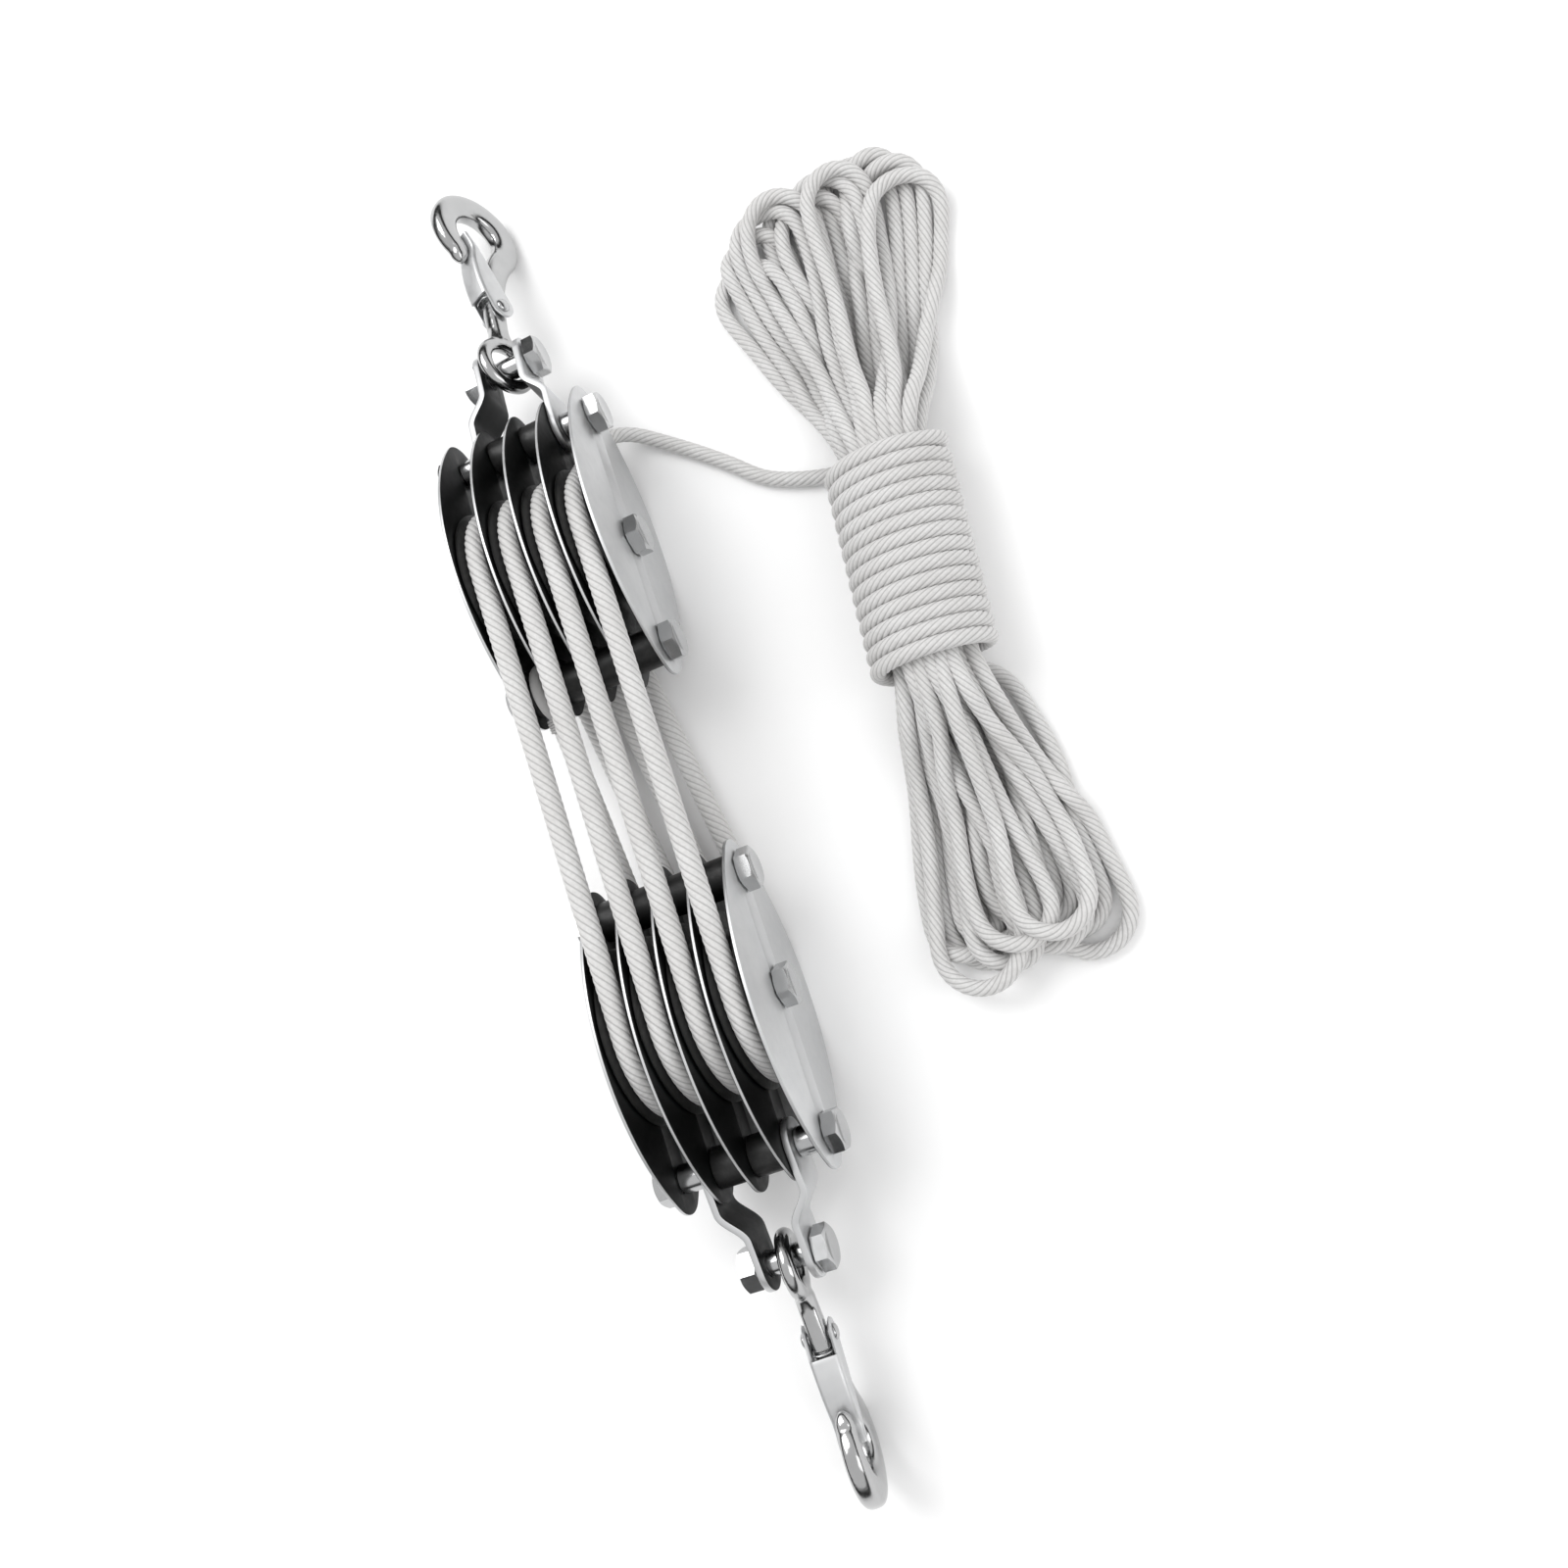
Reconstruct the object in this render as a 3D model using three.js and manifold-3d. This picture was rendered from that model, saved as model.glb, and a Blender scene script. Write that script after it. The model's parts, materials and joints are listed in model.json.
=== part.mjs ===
import * as THREE from 'three';
import { mergeVertices } from 'three/addons/utils/BufferGeometryUtils.js';
import Module from 'manifold-3d';

// Rope block and tackle with two four-sheave blocks, lying on a flat surface.
// Millimetres. X runs along the axles, Y along the tackle towards the upper hook, Z up from the surface.

const wasm = await Module();
wasm.setup();

// Gap kept between pieces that touch, and the overrun of a cut through a face.
const fit = 0.3;
const overrun = 1;
const hexSides = 6;

// Share of a bend's length that each handle of its curve takes.
const handleShare = 1 / 3;

// A stretch this many diameters long counts as one place when a tube's gap to itself is measured.
const sameStretch = 4;

const plate = {
  count: 5,
  thickness: 1.6,
  pitch: 16,
  halfWidth: 39,
  endRadius: 14,
  hookEndReach: 59.5,
  ropeEndReach: 49,
  edgeSteps: 12,
  endSteps: 6,
};

const bolt = {
  radius: 5,
  headAcross: 16,
  headHeight: 6.4,
  nutAcross: 16,
  nutHeight: 8,
  threadEnd: 1.2,
  sides: 12,
};

// The rope leaves the last sheave at leaveAngle, measured at its axle from +Y towards +Z, and runs straight
// for haulLead.
const rope = {
  radius: 3.5,
  sides: 8,
  formSides: 6,
  formGap: 0.55,
  wrapSteps: 6,
  leaveAngle: THREE.MathUtils.degToRad(39.5),
  haulLead: 30,
};

const sheave = {
  grooveFloorRadius: 27.2,
  flangeRadius: 37.5,
  sideGap: 0.6,
  floorHalfWidth: 1.4,
  wallRise: 1.6,
  wallClearance: 0.4,
  rimLand: 1,
  segments: 18,
};

const spacer = {
  innerWall: 3.2,
  outerWall: 0.7,
  sides: 12,
};

const strap = {
  length: 42,
  halfWidth: 10.5,
  thickness: 3,
  hookGap: 17.5,
  bendClearance: 3.5,
  bendLength: 9,
  endSteps: 8,
  swing: THREE.MathUtils.degToRad(9),
};

const eye = {
  holeRadius: 8,
  sectionRadius: 3.25,
  steps: 18,
  sides: 8,
};

// lean is how far each block's hook lies over in its loose eye, towards +X.
const hook = {
  reach: 100,
  bowlInnerRadius: 10,
  bowlThickness: 12.5,
  bodyWidth: 9,
  neckStart: 15.5,
  neckThickness: 8,
  tipThickness: 6.5,
  tipWidth: 6.5,
  backJoinAngle: THREE.MathUtils.degToRad(230),
  tipAngle: THREE.MathUtils.degToRad(130),
  tipFlare: THREE.MathUtils.degToRad(30),
  tipLead: 9,
  bowlSteps: 13,
  backSteps: 5,
  neckSwellShare: 0.6,
  tipSwellShare: 0.88,
  sides: 8,
  seatRise: 0.2,
  lean: { upper: THREE.MathUtils.degToRad(-26), lower: THREE.MathUtils.degToRad(8) },
};

const latch = {
  pivotReach: 33,
  pivotDrop: 1.5,
  rivetRadius: 2,
  rivetHead: 1.2,
  rivetHeadRadius: 3.2,
  sheet: 1.2,
  cheekRadius: 5.6,
  sideGap: 0.5,
  tipOverlap: 5,
  webShare: 0.78,
  rivetSides: 10,
};

const axleSpacing = 200;

// Hauling part: its places from the last sheave to the hank, as X, distance past the upper axle and height.
const hauling = {
  steps: 18,
  places: [
    [26.6, 56, 18.5],
    [32, 60.5, 12],
    [40, 59, 7.2],
    [50, 52, 4.4],
    [62, 42, 3.5],
    [76, 29, 3.5],
    [90, 15, 3.5],
  ],
};

// Hank: its middle and lean in plan, the size of its fans and the counts of its loops and binding turns.
const hank = {
  centre: new THREE.Vector2(137, 48),
  lean: THREE.MathUtils.degToRad(6.3),
  halfLength: 175,
  endGap: 4.45,
  fanHalfWidth: 46.5,
  fanGap: 5.45,
  fanLayerStep: 3,
  waistMargin: 0.7,
  waistStepShare: 1.1,
  spreadLength: 84,
  widestAngle: THREE.MathUtils.degToRad(43),
  layers: 4,
  loopsPerLayer: 2,
  stepsPerLoop: 24,
  climbTurns: 0.5,
  startReach: 78,
  endTurn: 7.8,
};

const binding = {
  turns: 12,
  cornerSteps: 3,
  leadIn: 15,
  tailStart: 12,
  tailSteps: 5,
  tailPull: 18,
};

// Values worked out from the sizes above.
const channelWidth = plate.pitch - plate.thickness;
const channelCount = plate.count - 1;
const plateX = (index) => (index - (plate.count - 1) / 2) * plate.pitch;
const channelX = (index) => (index - (channelCount - 1) / 2) * plate.pitch;
const outerFace = plateX(plate.count - 1) + plate.thickness / 2;
const holeRadius = bolt.radius + fit;
const axleHeight = plate.halfWidth;
const headReach = outerFace + fit + bolt.headHeight;
const nutReach = outerFace + fit + bolt.nutHeight + bolt.threadEnd;
const ropeDiameter = 2 * rope.radius;
const wrapRadius = (sheave.grooveFloorRadius + fit) / Math.cos(Math.PI / rope.wrapSteps / 2) + rope.radius;
const spacerRadius = { inner: holeRadius + spacer.innerWall, outer: holeRadius + spacer.outerWall };
const latchHalfWidth = hook.bodyWidth / 2 + latch.sideGap;

// Materials: each returns a new one, so that every piece has its own.
const zinc = () => new THREE.MeshStandardMaterial({ color: 0xd6d8da, roughness: 0.3, metalness: 1 });
const steel = () => new THREE.MeshStandardMaterial({ color: 0xc4c6c8, roughness: 0.25, metalness: 1 });
const blackPlastic = () => new THREE.MeshStandardMaterial({ color: 0x161616, roughness: 0.55, metalness: 0 });
const ropeFibre = () => new THREE.MeshStandardMaterial({ color: 0xdcdbd6, roughness: 0.9, metalness: 0 });

const part = new THREE.Group();
const assembly = new THREE.Group();
assembly.position.x = (nutReach - headReach) / 2;
part.add(assembly);

function addPiece(group, name, geometry, material) {
  const mesh = new THREE.Mesh(geometry, material);
  mesh.name = name;
  group.add(mesh);
  return mesh;
}

// A closed geometry as a solid that can be joined and cut, and back again.
function solidOf(geometry) {
  const bare = geometry.clone();
  bare.deleteAttribute('normal');
  bare.deleteAttribute('uv');
  const merged = mergeVertices(bare);
  return new wasm.Manifold(new wasm.Mesh({
    numProp: 3,
    vertProperties: merged.attributes.position.array,
    triVerts: Uint32Array.from(merged.index.array),
  }));
}

function geometryOf(solid) {
  const mesh = solid.getMesh();
  const geometry = new THREE.BufferGeometry();
  geometry.setAttribute('position', new THREE.BufferAttribute(Float32Array.from(mesh.vertProperties), 3));
  geometry.setIndex(Array.from(mesh.triVerts));
  return geometry;
}

// Points of an arc, its last one left out so that the next arc can start there.
function arcPoints(x, y, radius, from, to, steps) {
  const points = [];
  for (let step = 0; step < steps; step += 1) {
    const angle = from + (to - from) * step / steps;
    points.push(new THREE.Vector2(x + radius * Math.cos(angle), y + radius * Math.sin(angle)));
  }
  return points;
}

function circlePath(x, y, radius, sides) {
  return new THREE.Path(arcPoints(x, y, radius, 0, 2 * Math.PI, sides));
}

// An outline in Y and Z, extruded along X from the given start.
function extrudeAlongX(shape, start, width) {
  const geometry = new THREE.ExtrudeGeometry(shape, { depth: width, bevelEnabled: false, steps: 1 });
  const turn = new THREE.Matrix4().makeBasis(
    new THREE.Vector3(0, 1, 0),
    new THREE.Vector3(0, 0, 1),
    new THREE.Vector3(1, 0, 0),
  );
  geometry.applyMatrix4(turn);
  geometry.translate(start, 0, 0);
  return geometry;
}

// A closed profile of radius and X, turned about the X axis.
function turnAboutX(profile, segments) {
  const points = profile.map(([radius, x]) => new THREE.Vector2(radius, x));
  points.push(points[0].clone());
  const geometry = new THREE.LatheGeometry(points, segments);
  geometry.rotateZ(-Math.PI / 2);
  return geometry;
}

function cylinderAlongX(radius, start, end, sides) {
  const geometry = new THREE.CylinderGeometry(radius, radius, end - start, sides);
  geometry.rotateZ(-Math.PI / 2);
  geometry.translate((start + end) / 2, 0, 0);
  return geometry;
}

function hexAlongX(across, start, end) {
  return cylinderAlongX(across / 2 / Math.cos(Math.PI / hexSides), start, end, hexSides);
}

// A closed tube through the points. Its section is an ellipse: radii(i) gives the half-size along the
// carried normal and across it. A turn of half a side puts flats, not corners, on the normal.
function sweep(points, sides, radii, firstNormal, flats) {
  const positions = [];
  const indices = [];
  const normal = firstNormal.clone();
  const offset = flats ? Math.PI / sides : 0;
  points.forEach((point, index) => {
    const before = points[Math.max(index - 1, 0)];
    const after = points[Math.min(index + 1, points.length - 1)];
    const arriving = point.clone().sub(before).normalize();
    const leaving = after.clone().sub(point).normalize();
    const tangent = arriving.add(leaving).normalize();
    normal.addScaledVector(tangent, -normal.dot(tangent)).normalize();
    const across = tangent.clone().cross(normal);
    const [alongNormal, alongAcross] = radii(index);
    for (let side = 0; side < sides; side += 1) {
      const angle = offset + 2 * Math.PI * side / sides;
      const corner = point.clone()
        .addScaledVector(normal, alongNormal * Math.cos(angle))
        .addScaledVector(across, alongAcross * Math.sin(angle));
      positions.push(corner.x, corner.y, corner.z);
    }
  });
  const last = (points.length - 1) * sides;
  for (let ring = 0; ring < points.length - 1; ring += 1) {
    for (let side = 0; side < sides; side += 1) {
      const a = ring * sides + side;
      const b = ring * sides + (side + 1) % sides;
      indices.push(a, b, b + sides, a, b + sides, a + sides);
    }
  }
  for (let side = 1; side < sides - 1; side += 1) {
    indices.push(0, side + 1, side);
    indices.push(last, last + side, last + side + 1);
  }
  const geometry = new THREE.BufferGeometry();
  geometry.setAttribute('position', new THREE.BufferAttribute(new Float32Array(positions), 3));
  geometry.setIndex(indices);
  return geometry;
}

// The least gap of a tube to itself, measured on points along its route.
function leastGap(route, diameter) {
  const points = [];
  for (let index = 1; index < route.length; index += 1) {
    const length = route[index].distanceTo(route[index - 1]);
    const pieces = Math.ceil(length / rope.radius);
    for (let piece = 0; piece < pieces; piece += 1) {
      points.push(route[index - 1].clone().lerp(route[index], piece / pieces));
    }
  }
  const skip = Math.ceil(sameStretch * diameter / rope.radius);
  let least = Infinity;
  for (let first = 0; first < points.length; first += 1) {
    for (let second = first + skip; second < points.length; second += 1) {
      least = Math.min(least, points[first].distanceToSquared(points[second]));
    }
  }
  return Math.sqrt(least) - diameter;
}

// Side plate: a lens with round ends, with holes for the axle and the two tie bolts.
function plateGeometry(side, x) {
  const half = (plate.hookEndReach + plate.ropeEndReach) / 2;
  const middle = (plate.hookEndReach - plate.ropeEndReach) / 2;
  const { halfWidth, endRadius } = plate;
  const edgeRadius = (half ** 2 + halfWidth ** 2 - endRadius ** 2) / (2 * (halfWidth - endRadius));
  const drop = edgeRadius - halfWidth;
  const join = Math.atan2(drop, half);
  const outline = [
    ...arcPoints(plate.hookEndReach, 0, endRadius, -join, join, plate.endSteps),
    ...arcPoints(middle, -drop, edgeRadius, join, Math.PI - join, plate.edgeSteps),
    ...arcPoints(-plate.ropeEndReach, 0, endRadius, Math.PI - join, Math.PI + join, plate.endSteps),
    ...arcPoints(middle, drop, edgeRadius, Math.PI + join, 2 * Math.PI - join, plate.edgeSteps),
  ];
  const shape = new THREE.Shape(outline.map((point) => new THREE.Vector2(side * point.x, point.y)));
  for (const reach of [plate.hookEndReach, 0, -plate.ropeEndReach]) {
    shape.holes.push(circlePath(side * reach, 0, holeRadius, bolt.sides));
  }
  return extrudeAlongX(shape, x - plate.thickness / 2, plate.thickness);
}

function sheaveGeometry() {
  const half = channelWidth / 2 - sheave.sideGap;
  const wallHalf = rope.radius + sheave.wallClearance;
  const wallRadius = sheave.grooveFloorRadius + sheave.wallRise;
  const mouthHalf = half - sheave.rimLand;
  return turnAboutX([
    [holeRadius, -half],
    [sheave.flangeRadius, -half],
    [sheave.flangeRadius, -mouthHalf],
    [wallRadius, -wallHalf],
    [sheave.grooveFloorRadius, -sheave.floorHalfWidth],
    [sheave.grooveFloorRadius, sheave.floorHalfWidth],
    [wallRadius, wallHalf],
    [sheave.flangeRadius, mouthHalf],
    [sheave.flangeRadius, half],
    [holeRadius, half],
  ], sheave.segments);
}

function spacerGeometry(radius, start, end) {
  return turnAboutX([[holeRadius, start], [radius, start], [radius, end], [holeRadius, end]], spacer.sides);
}

// Bolt: its head on the +X side, its thread through the nut on the other.
function boltGeometry(faceReach) {
  const shank = cylinderAlongX(bolt.radius, -faceReach - fit - bolt.nutHeight - bolt.threadEnd,
    faceReach + fit + bolt.headHeight / 2, bolt.sides);
  const head = hexAlongX(bolt.headAcross, faceReach + fit, faceReach + fit + bolt.headHeight);
  return solidOf(shank).add(solidOf(head));
}

function nutGeometry(faceReach) {
  const radius = bolt.nutAcross / 2 / Math.cos(Math.PI / hexSides);
  const shape = new THREE.Shape(arcPoints(0, 0, radius, 0, 2 * Math.PI, hexSides));
  shape.holes.push(circlePath(0, 0, holeRadius, bolt.sides));
  return extrudeAlongX(shape, -faceReach - fit - bolt.nutHeight, bolt.nutHeight);
}

// Strap: a flat bar, cranked inwards between its two bolts. hand is 1 for the right one and -1 for the left.
const strapInner = plateX(plate.count - 2) + plate.thickness / 2 + fit;
const strapHookInner = strap.hookGap / 2;

function strapGeometry(side, hand) {
  const bendStart = plate.endRadius + strap.bendClearance;
  const bendEnd = bendStart + strap.bendLength;
  const end = strap.length + strap.halfWidth;
  const inner = [
    [-strap.halfWidth, strapInner],
    [bendStart, strapInner],
    [bendEnd, strapHookInner],
    [end, strapHookInner],
  ];
  const outer = inner.map(([reach, x]) => [reach, x + strap.thickness]).reverse();
  const outline = [...inner, ...outer].map(([reach, x]) => new THREE.Vector2(hand * x, side * reach));
  const crank = new THREE.Shape(outline);
  const bar = new THREE.ExtrudeGeometry(crank, { depth: 2 * strap.halfWidth, bevelEnabled: false, steps: 1 });
  bar.translate(0, 0, -strap.halfWidth);
  const face = new THREE.Shape([
    ...arcPoints(strap.length, 0, strap.halfWidth, -Math.PI / 2, Math.PI / 2, strap.endSteps),
    ...arcPoints(0, 0, strap.halfWidth, Math.PI / 2, 3 * Math.PI / 2, strap.endSteps),
    new THREE.Vector2(0, -strap.halfWidth),
  ].map((point) => new THREE.Vector2(side * point.x, point.y)));
  for (const reach of [0, strap.length]) {
    face.holes.push(circlePath(side * reach, 0, holeRadius, bolt.sides));
  }
  const reachX = strapInner + strap.thickness + overrun;
  return geometryOf(solidOf(bar).intersect(solidOf(extrudeAlongX(face, -reachX, 2 * reachX))));
}

// Hook in its own frame: u runs from the hook bolt to the bowl, v towards the open side. The route of the
// body goes down the back, round the bowl and up to the tip.
const eyeRingRadius = eye.holeRadius + eye.sectionRadius;
const eyeCentre = eye.holeRadius - bolt.radius - fit;
const bowlRadius = hook.bowlInnerRadius + hook.bowlThickness / 2;
const bowlCentre = hook.reach - hook.bowlInnerRadius - hook.bowlThickness;

function hookRoute() {
  const join = new THREE.Vector2(
    bowlCentre + bowlRadius * Math.cos(hook.backJoinAngle),
    bowlRadius * Math.sin(hook.backJoinAngle),
  );
  const joinHeading = new THREE.Vector2(-Math.sin(hook.backJoinAngle), Math.cos(hook.backJoinAngle));
  const neckLength = join.x - hook.neckStart;
  const back = new THREE.CubicBezierCurve(
    new THREE.Vector2(hook.neckStart, 0),
    new THREE.Vector2(hook.neckStart + neckLength * handleShare, 0),
    join.clone().addScaledVector(joinHeading, -neckLength * handleShare),
    join,
  ).getPoints(hook.backSteps);
  const route = back.slice(0, -1);
  const turn = 2 * Math.PI + hook.tipAngle - hook.backJoinAngle;
  for (let step = 0; step <= hook.bowlSteps; step += 1) {
    const angle = hook.backJoinAngle + turn * step / hook.bowlSteps;
    route.push(new THREE.Vector2(bowlCentre + bowlRadius * Math.cos(angle), bowlRadius * Math.sin(angle)));
  }
  const tip = route[route.length - 1];
  const heading = new THREE.Vector2(-Math.sin(hook.tipAngle), Math.cos(hook.tipAngle));
  heading.rotateAround(new THREE.Vector2(), -hook.tipFlare);
  route.push(tip.clone().addScaledVector(heading, hook.tipLead));
  return route;
}

function hookGeometry(side) {
  const route = hookRoute();
  const steps = route.length - 1;
  const crown = hook.backSteps + hook.bowlSteps / 2;
  const points = route.map((point) => new THREE.Vector3(0, side * point.x, point.y));
  const radii = (index) => {
    const share = index < crown ? index / crown : (steps - index) / (steps - crown);
    const swellShare = index < crown ? hook.neckSwellShare : hook.tipSwellShare;
    const swell = Math.sin(Math.min(share / swellShare, 1) * Math.PI / 2);
    const thin = index < crown ? hook.neckThickness : hook.tipThickness;
    const narrow = index < crown ? hook.neckThickness : hook.tipWidth;
    return [
      (thin + (hook.bowlThickness - thin) * swell) / 2,
      (narrow + (hook.bodyWidth - narrow) * swell) / 2,
    ];
  };
  const body = sweep(points, hook.sides, radii, new THREE.Vector3(0, 0, 1), true);
  const ring = new THREE.TorusGeometry(eyeRingRadius, eye.sectionRadius, eye.sides, eye.steps);
  ring.rotateY(Math.PI / 2);
  ring.translate(0, side * eyeCentre, 0);
  const rivetReach = latchHalfWidth + latch.sheet + fit;
  const rivet = cylinderAlongX(latch.rivetRadius, -rivetReach, rivetReach, latch.rivetSides);
  const heads = [-1, 1].map((hand) => {
    const faces = [hand * rivetReach, hand * (rivetReach + latch.rivetHead)].sort((a, b) => a - b);
    return cylinderAlongX(latch.rivetHeadRadius, faces[0], faces[1], latch.rivetSides);
  });
  let solid = solidOf(body).add(solidOf(ring));
  for (const piece of [rivet, ...heads]) {
    piece.translate(0, side * latch.pivotReach, -latch.pivotDrop);
    solid = solid.add(solidOf(piece));
  }
  return geometryOf(solid);
}

// Latch: two cheeks beside the hook's neck, joined by a web that reaches under the tip.
function latchGeometry(side) {
  const route = hookRoute();
  const tip = route[route.length - 2];
  const pivot = new THREE.Vector2(latch.pivotReach, -latch.pivotDrop);
  const inward = new THREE.Vector2(bowlCentre, 0).sub(tip).normalize();
  const touch = tip.clone().addScaledVector(inward, hook.tipThickness / 2 + 2 * fit + latch.sheet);
  const along = touch.clone().sub(pivot).normalize();
  const up = new THREE.Vector2(-along.y, along.x);
  const length = touch.distanceTo(pivot) + latch.tipOverlap / 2;
  const place = (distance, rise) => {
    const point = pivot.clone().addScaledVector(along, distance).addScaledVector(up, rise);
    return new THREE.Vector2(side * point.x, point.y);
  };
  const cheek = new THREE.Shape([
    ...arcPoints(0, 0, latch.cheekRadius, Math.PI / 2, 3 * Math.PI / 2, latch.rivetSides / 2)
      .map((point) => place(point.x, point.y)),
    place(0, -latch.cheekRadius),
    place(length * latch.webShare, -latch.cheekRadius / 2),
    place(length, -latch.sheet),
    place(length, 0),
    place(length * latch.webShare, latch.sheet + fit),
    place(0, latch.cheekRadius),
  ]);
  cheek.holes.push(circlePath(side * pivot.x, pivot.y, latch.rivetRadius + fit, latch.rivetSides));
  const inner = latchHalfWidth;
  const full = solidOf(extrudeAlongX(cheek, -inner - latch.sheet, 2 * (inner + latch.sheet)));
  const channel = new THREE.Shape([
    place(-2 * latch.cheekRadius, -2 * latch.cheekRadius),
    place(length + overrun, -2 * latch.cheekRadius),
    place(length + overrun, -latch.sheet),
    place(length * latch.webShare, -latch.sheet),
    place(length * latch.webShare, 2 * latch.cheekRadius),
    place(-2 * latch.cheekRadius, 2 * latch.cheekRadius),
  ]);
  return geometryOf(full.subtract(solidOf(extrudeAlongX(channel, -inner, 2 * inner))));
}

// One block: side 1 is the upper block, with its hook towards +Y, and -1 the lower one.
function addBlock(name, side) {
  const block = new THREE.Group();
  block.position.set(0, side * axleSpacing / 2, axleHeight);
  assembly.add(block);

  for (let index = 0; index < plate.count; index += 1) {
    addPiece(block, `${name}_plate_${index + 1}`, plateGeometry(side, plateX(index)), zinc());
  }
  for (let index = 0; index < channelCount; index += 1) {
    const wheel = addPiece(block, `${name}_sheave_${index + 1}`, sheaveGeometry(), blackPlastic());
    wheel.position.x = channelX(index);
  }
  const boltReaches = { axle: 0, hook_end: plate.hookEndReach, rope_end: -plate.ropeEndReach };
  for (const [place, reach] of Object.entries(boltReaches)) {
    const shank = addPiece(block, `${name}_${place}_bolt`, geometryOf(boltGeometry(outerFace)), steel());
    const nut = addPiece(block, `${name}_${place}_nut`, nutGeometry(outerFace), steel());
    shank.position.y = side * reach;
    nut.position.y = side * reach;
  }
  for (let index = 0; index < channelCount; index += 1) {
    const outermost = index === 0 || index === channelCount - 1;
    const half = channelWidth / 2 - fit;
    const black = addPiece(block, `${name}_rope_end_spacer_${index + 1}`,
      spacerGeometry(spacerRadius.inner, -half, half), blackPlastic());
    black.position.set(channelX(index), -side * plate.ropeEndReach, 0);
    const strapRoom = strap.thickness + fit;
    const start = index === channelCount - 1 ? -half + strapRoom : -half;
    const end = index === 0 ? half - strapRoom : half;
    const radius = outermost ? spacerRadius.outer : spacerRadius.inner;
    const tube = addPiece(block, `${name}_hook_end_spacer_${index + 1}`,
      spacerGeometry(radius, start, end), outermost ? steel() : blackPlastic());
    tube.position.set(channelX(index), side * plate.hookEndReach, 0);
  }

  const straps = new THREE.Group();
  straps.position.y = side * plate.hookEndReach;
  straps.rotation.x = -side * strap.swing;
  block.add(straps);
  addPiece(straps, `${name}_strap_left`, strapGeometry(side, -1), zinc());
  addPiece(straps, `${name}_strap_right`, strapGeometry(side, 1), zinc());
  const hookBoltFace = strapHookInner + strap.thickness;
  const hookNut = hexAlongX(bolt.nutAcross, -hookBoltFace - fit - bolt.nutHeight, -hookBoltFace - fit);
  const hookBolt = addPiece(straps, `${name}_hook_bolt`,
    geometryOf(boltGeometry(hookBoltFace).add(solidOf(hookNut))), steel());
  hookBolt.position.y = side * strap.length;

  const hookGroup = new THREE.Group();
  hookGroup.position.y = side * strap.length;
  hookGroup.rotation.x = -side * (hookPitch(hook.lean[name]) - strap.swing);
  straps.add(hookGroup);
  const leaning = new THREE.Group();
  leaning.rotation.y = hook.lean[name];
  hookGroup.add(leaning);
  addPiece(leaning, `${name}_hook`, hookGeometry(side), steel());
  addPiece(leaning, `${name}_latch`, latchGeometry(side), zinc());
}

// The hook lies with its bowl just above the surface, so its pitch follows from the height of its bolt.
function hookPitch(lean) {
  const boltHeight = axleHeight - strap.length * Math.sin(strap.swing);
  const flatTurn = Math.PI / hook.sides;
  const corners = Array.from({ length: hook.sides }, (_, side) => flatTurn * (2 * side + 1));
  const reaches = corners.map((angle) => hook.bowlThickness / 2 * Math.cos(angle) * Math.cos(lean)
    + hook.bodyWidth / 2 * Math.sin(angle) * Math.sin(lean));
  const bowlHeight = bowlRadius * Math.cos(lean) + Math.max(...reaches) + hook.seatRise;
  return Math.asin((boltHeight - bowlHeight) / bowlCentre);
}

// The reeved rope, from the dead end on the upper block through every sheave to the hauling part.
// Angles are measured at an axle from +Y towards +Z. Behind the blocks it crosses from channel to channel
// between their rope ends.
function reevedRoute() {
  const route = [];
  const upperY = axleSpacing / 2;
  const lowerY = -axleSpacing / 2;
  const wrap = (x, y, from, to) => {
    for (let step = 0; step <= rope.wrapSteps; step += 1) {
      const angle = from + (to - from) * step / rope.wrapSteps;
      const height = axleHeight + wrapRadius * Math.sin(angle);
      route.push(new THREE.Vector3(x, y + wrapRadius * Math.cos(angle), height));
    }
  };
  const plateEnd = plate.ropeEndReach + plate.endRadius;
  const crossing = (plateEnd + plate.ropeEndReach - sheave.flangeRadius) / 2 + rope.radius;
  const endY = upperY - plate.ropeEndReach;
  const firstAngle = -Math.acos(wrapRadius / (endY - lowerY));
  const first = new THREE.Vector3(channelX(0), lowerY + wrapRadius * Math.cos(firstAngle),
    axleHeight + wrapRadius * Math.sin(firstAngle));
  const end = new THREE.Vector3(channelX(0), endY, axleHeight);
  const heading = first.clone().sub(end).normalize();
  route.push(end.addScaledVector(heading, spacerRadius.inner + fit));
  for (let index = 0; index < channelCount; index += 1) {
    const x = channelX(index);
    wrap(x, lowerY, index === 0 ? firstAngle : -Math.PI / 2, -3 * Math.PI / 2);
    if (index < channelCount - 1) {
      wrap(x, upperY, Math.PI / 2, -Math.PI / 2);
      const height = axleHeight - wrapRadius;
      route.push(new THREE.Vector3(x, upperY - crossing, height));
      route.push(new THREE.Vector3(channelX(index + 1), lowerY + crossing, height));
    } else {
      wrap(x, upperY, Math.PI / 2, rope.leaveAngle);
    }
  }
  const last = route[route.length - 1];
  const leaving = new THREE.Vector3(0, Math.sin(rope.leaveAngle), -Math.cos(rope.leaveAngle));
  route.push(last.clone().addScaledVector(leaving, rope.haulLead));
  return route;
}

// Places in the hank's own frame: across it, along it and up, turned and moved to where it lies.
function hankPlace(across, along, height) {
  const point = new THREE.Vector2(across, along).rotateAround(new THREE.Vector2(), -hank.lean);
  return new THREE.Vector3(hank.centre.x + point.x, hank.centre.y + point.y, height);
}

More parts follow.
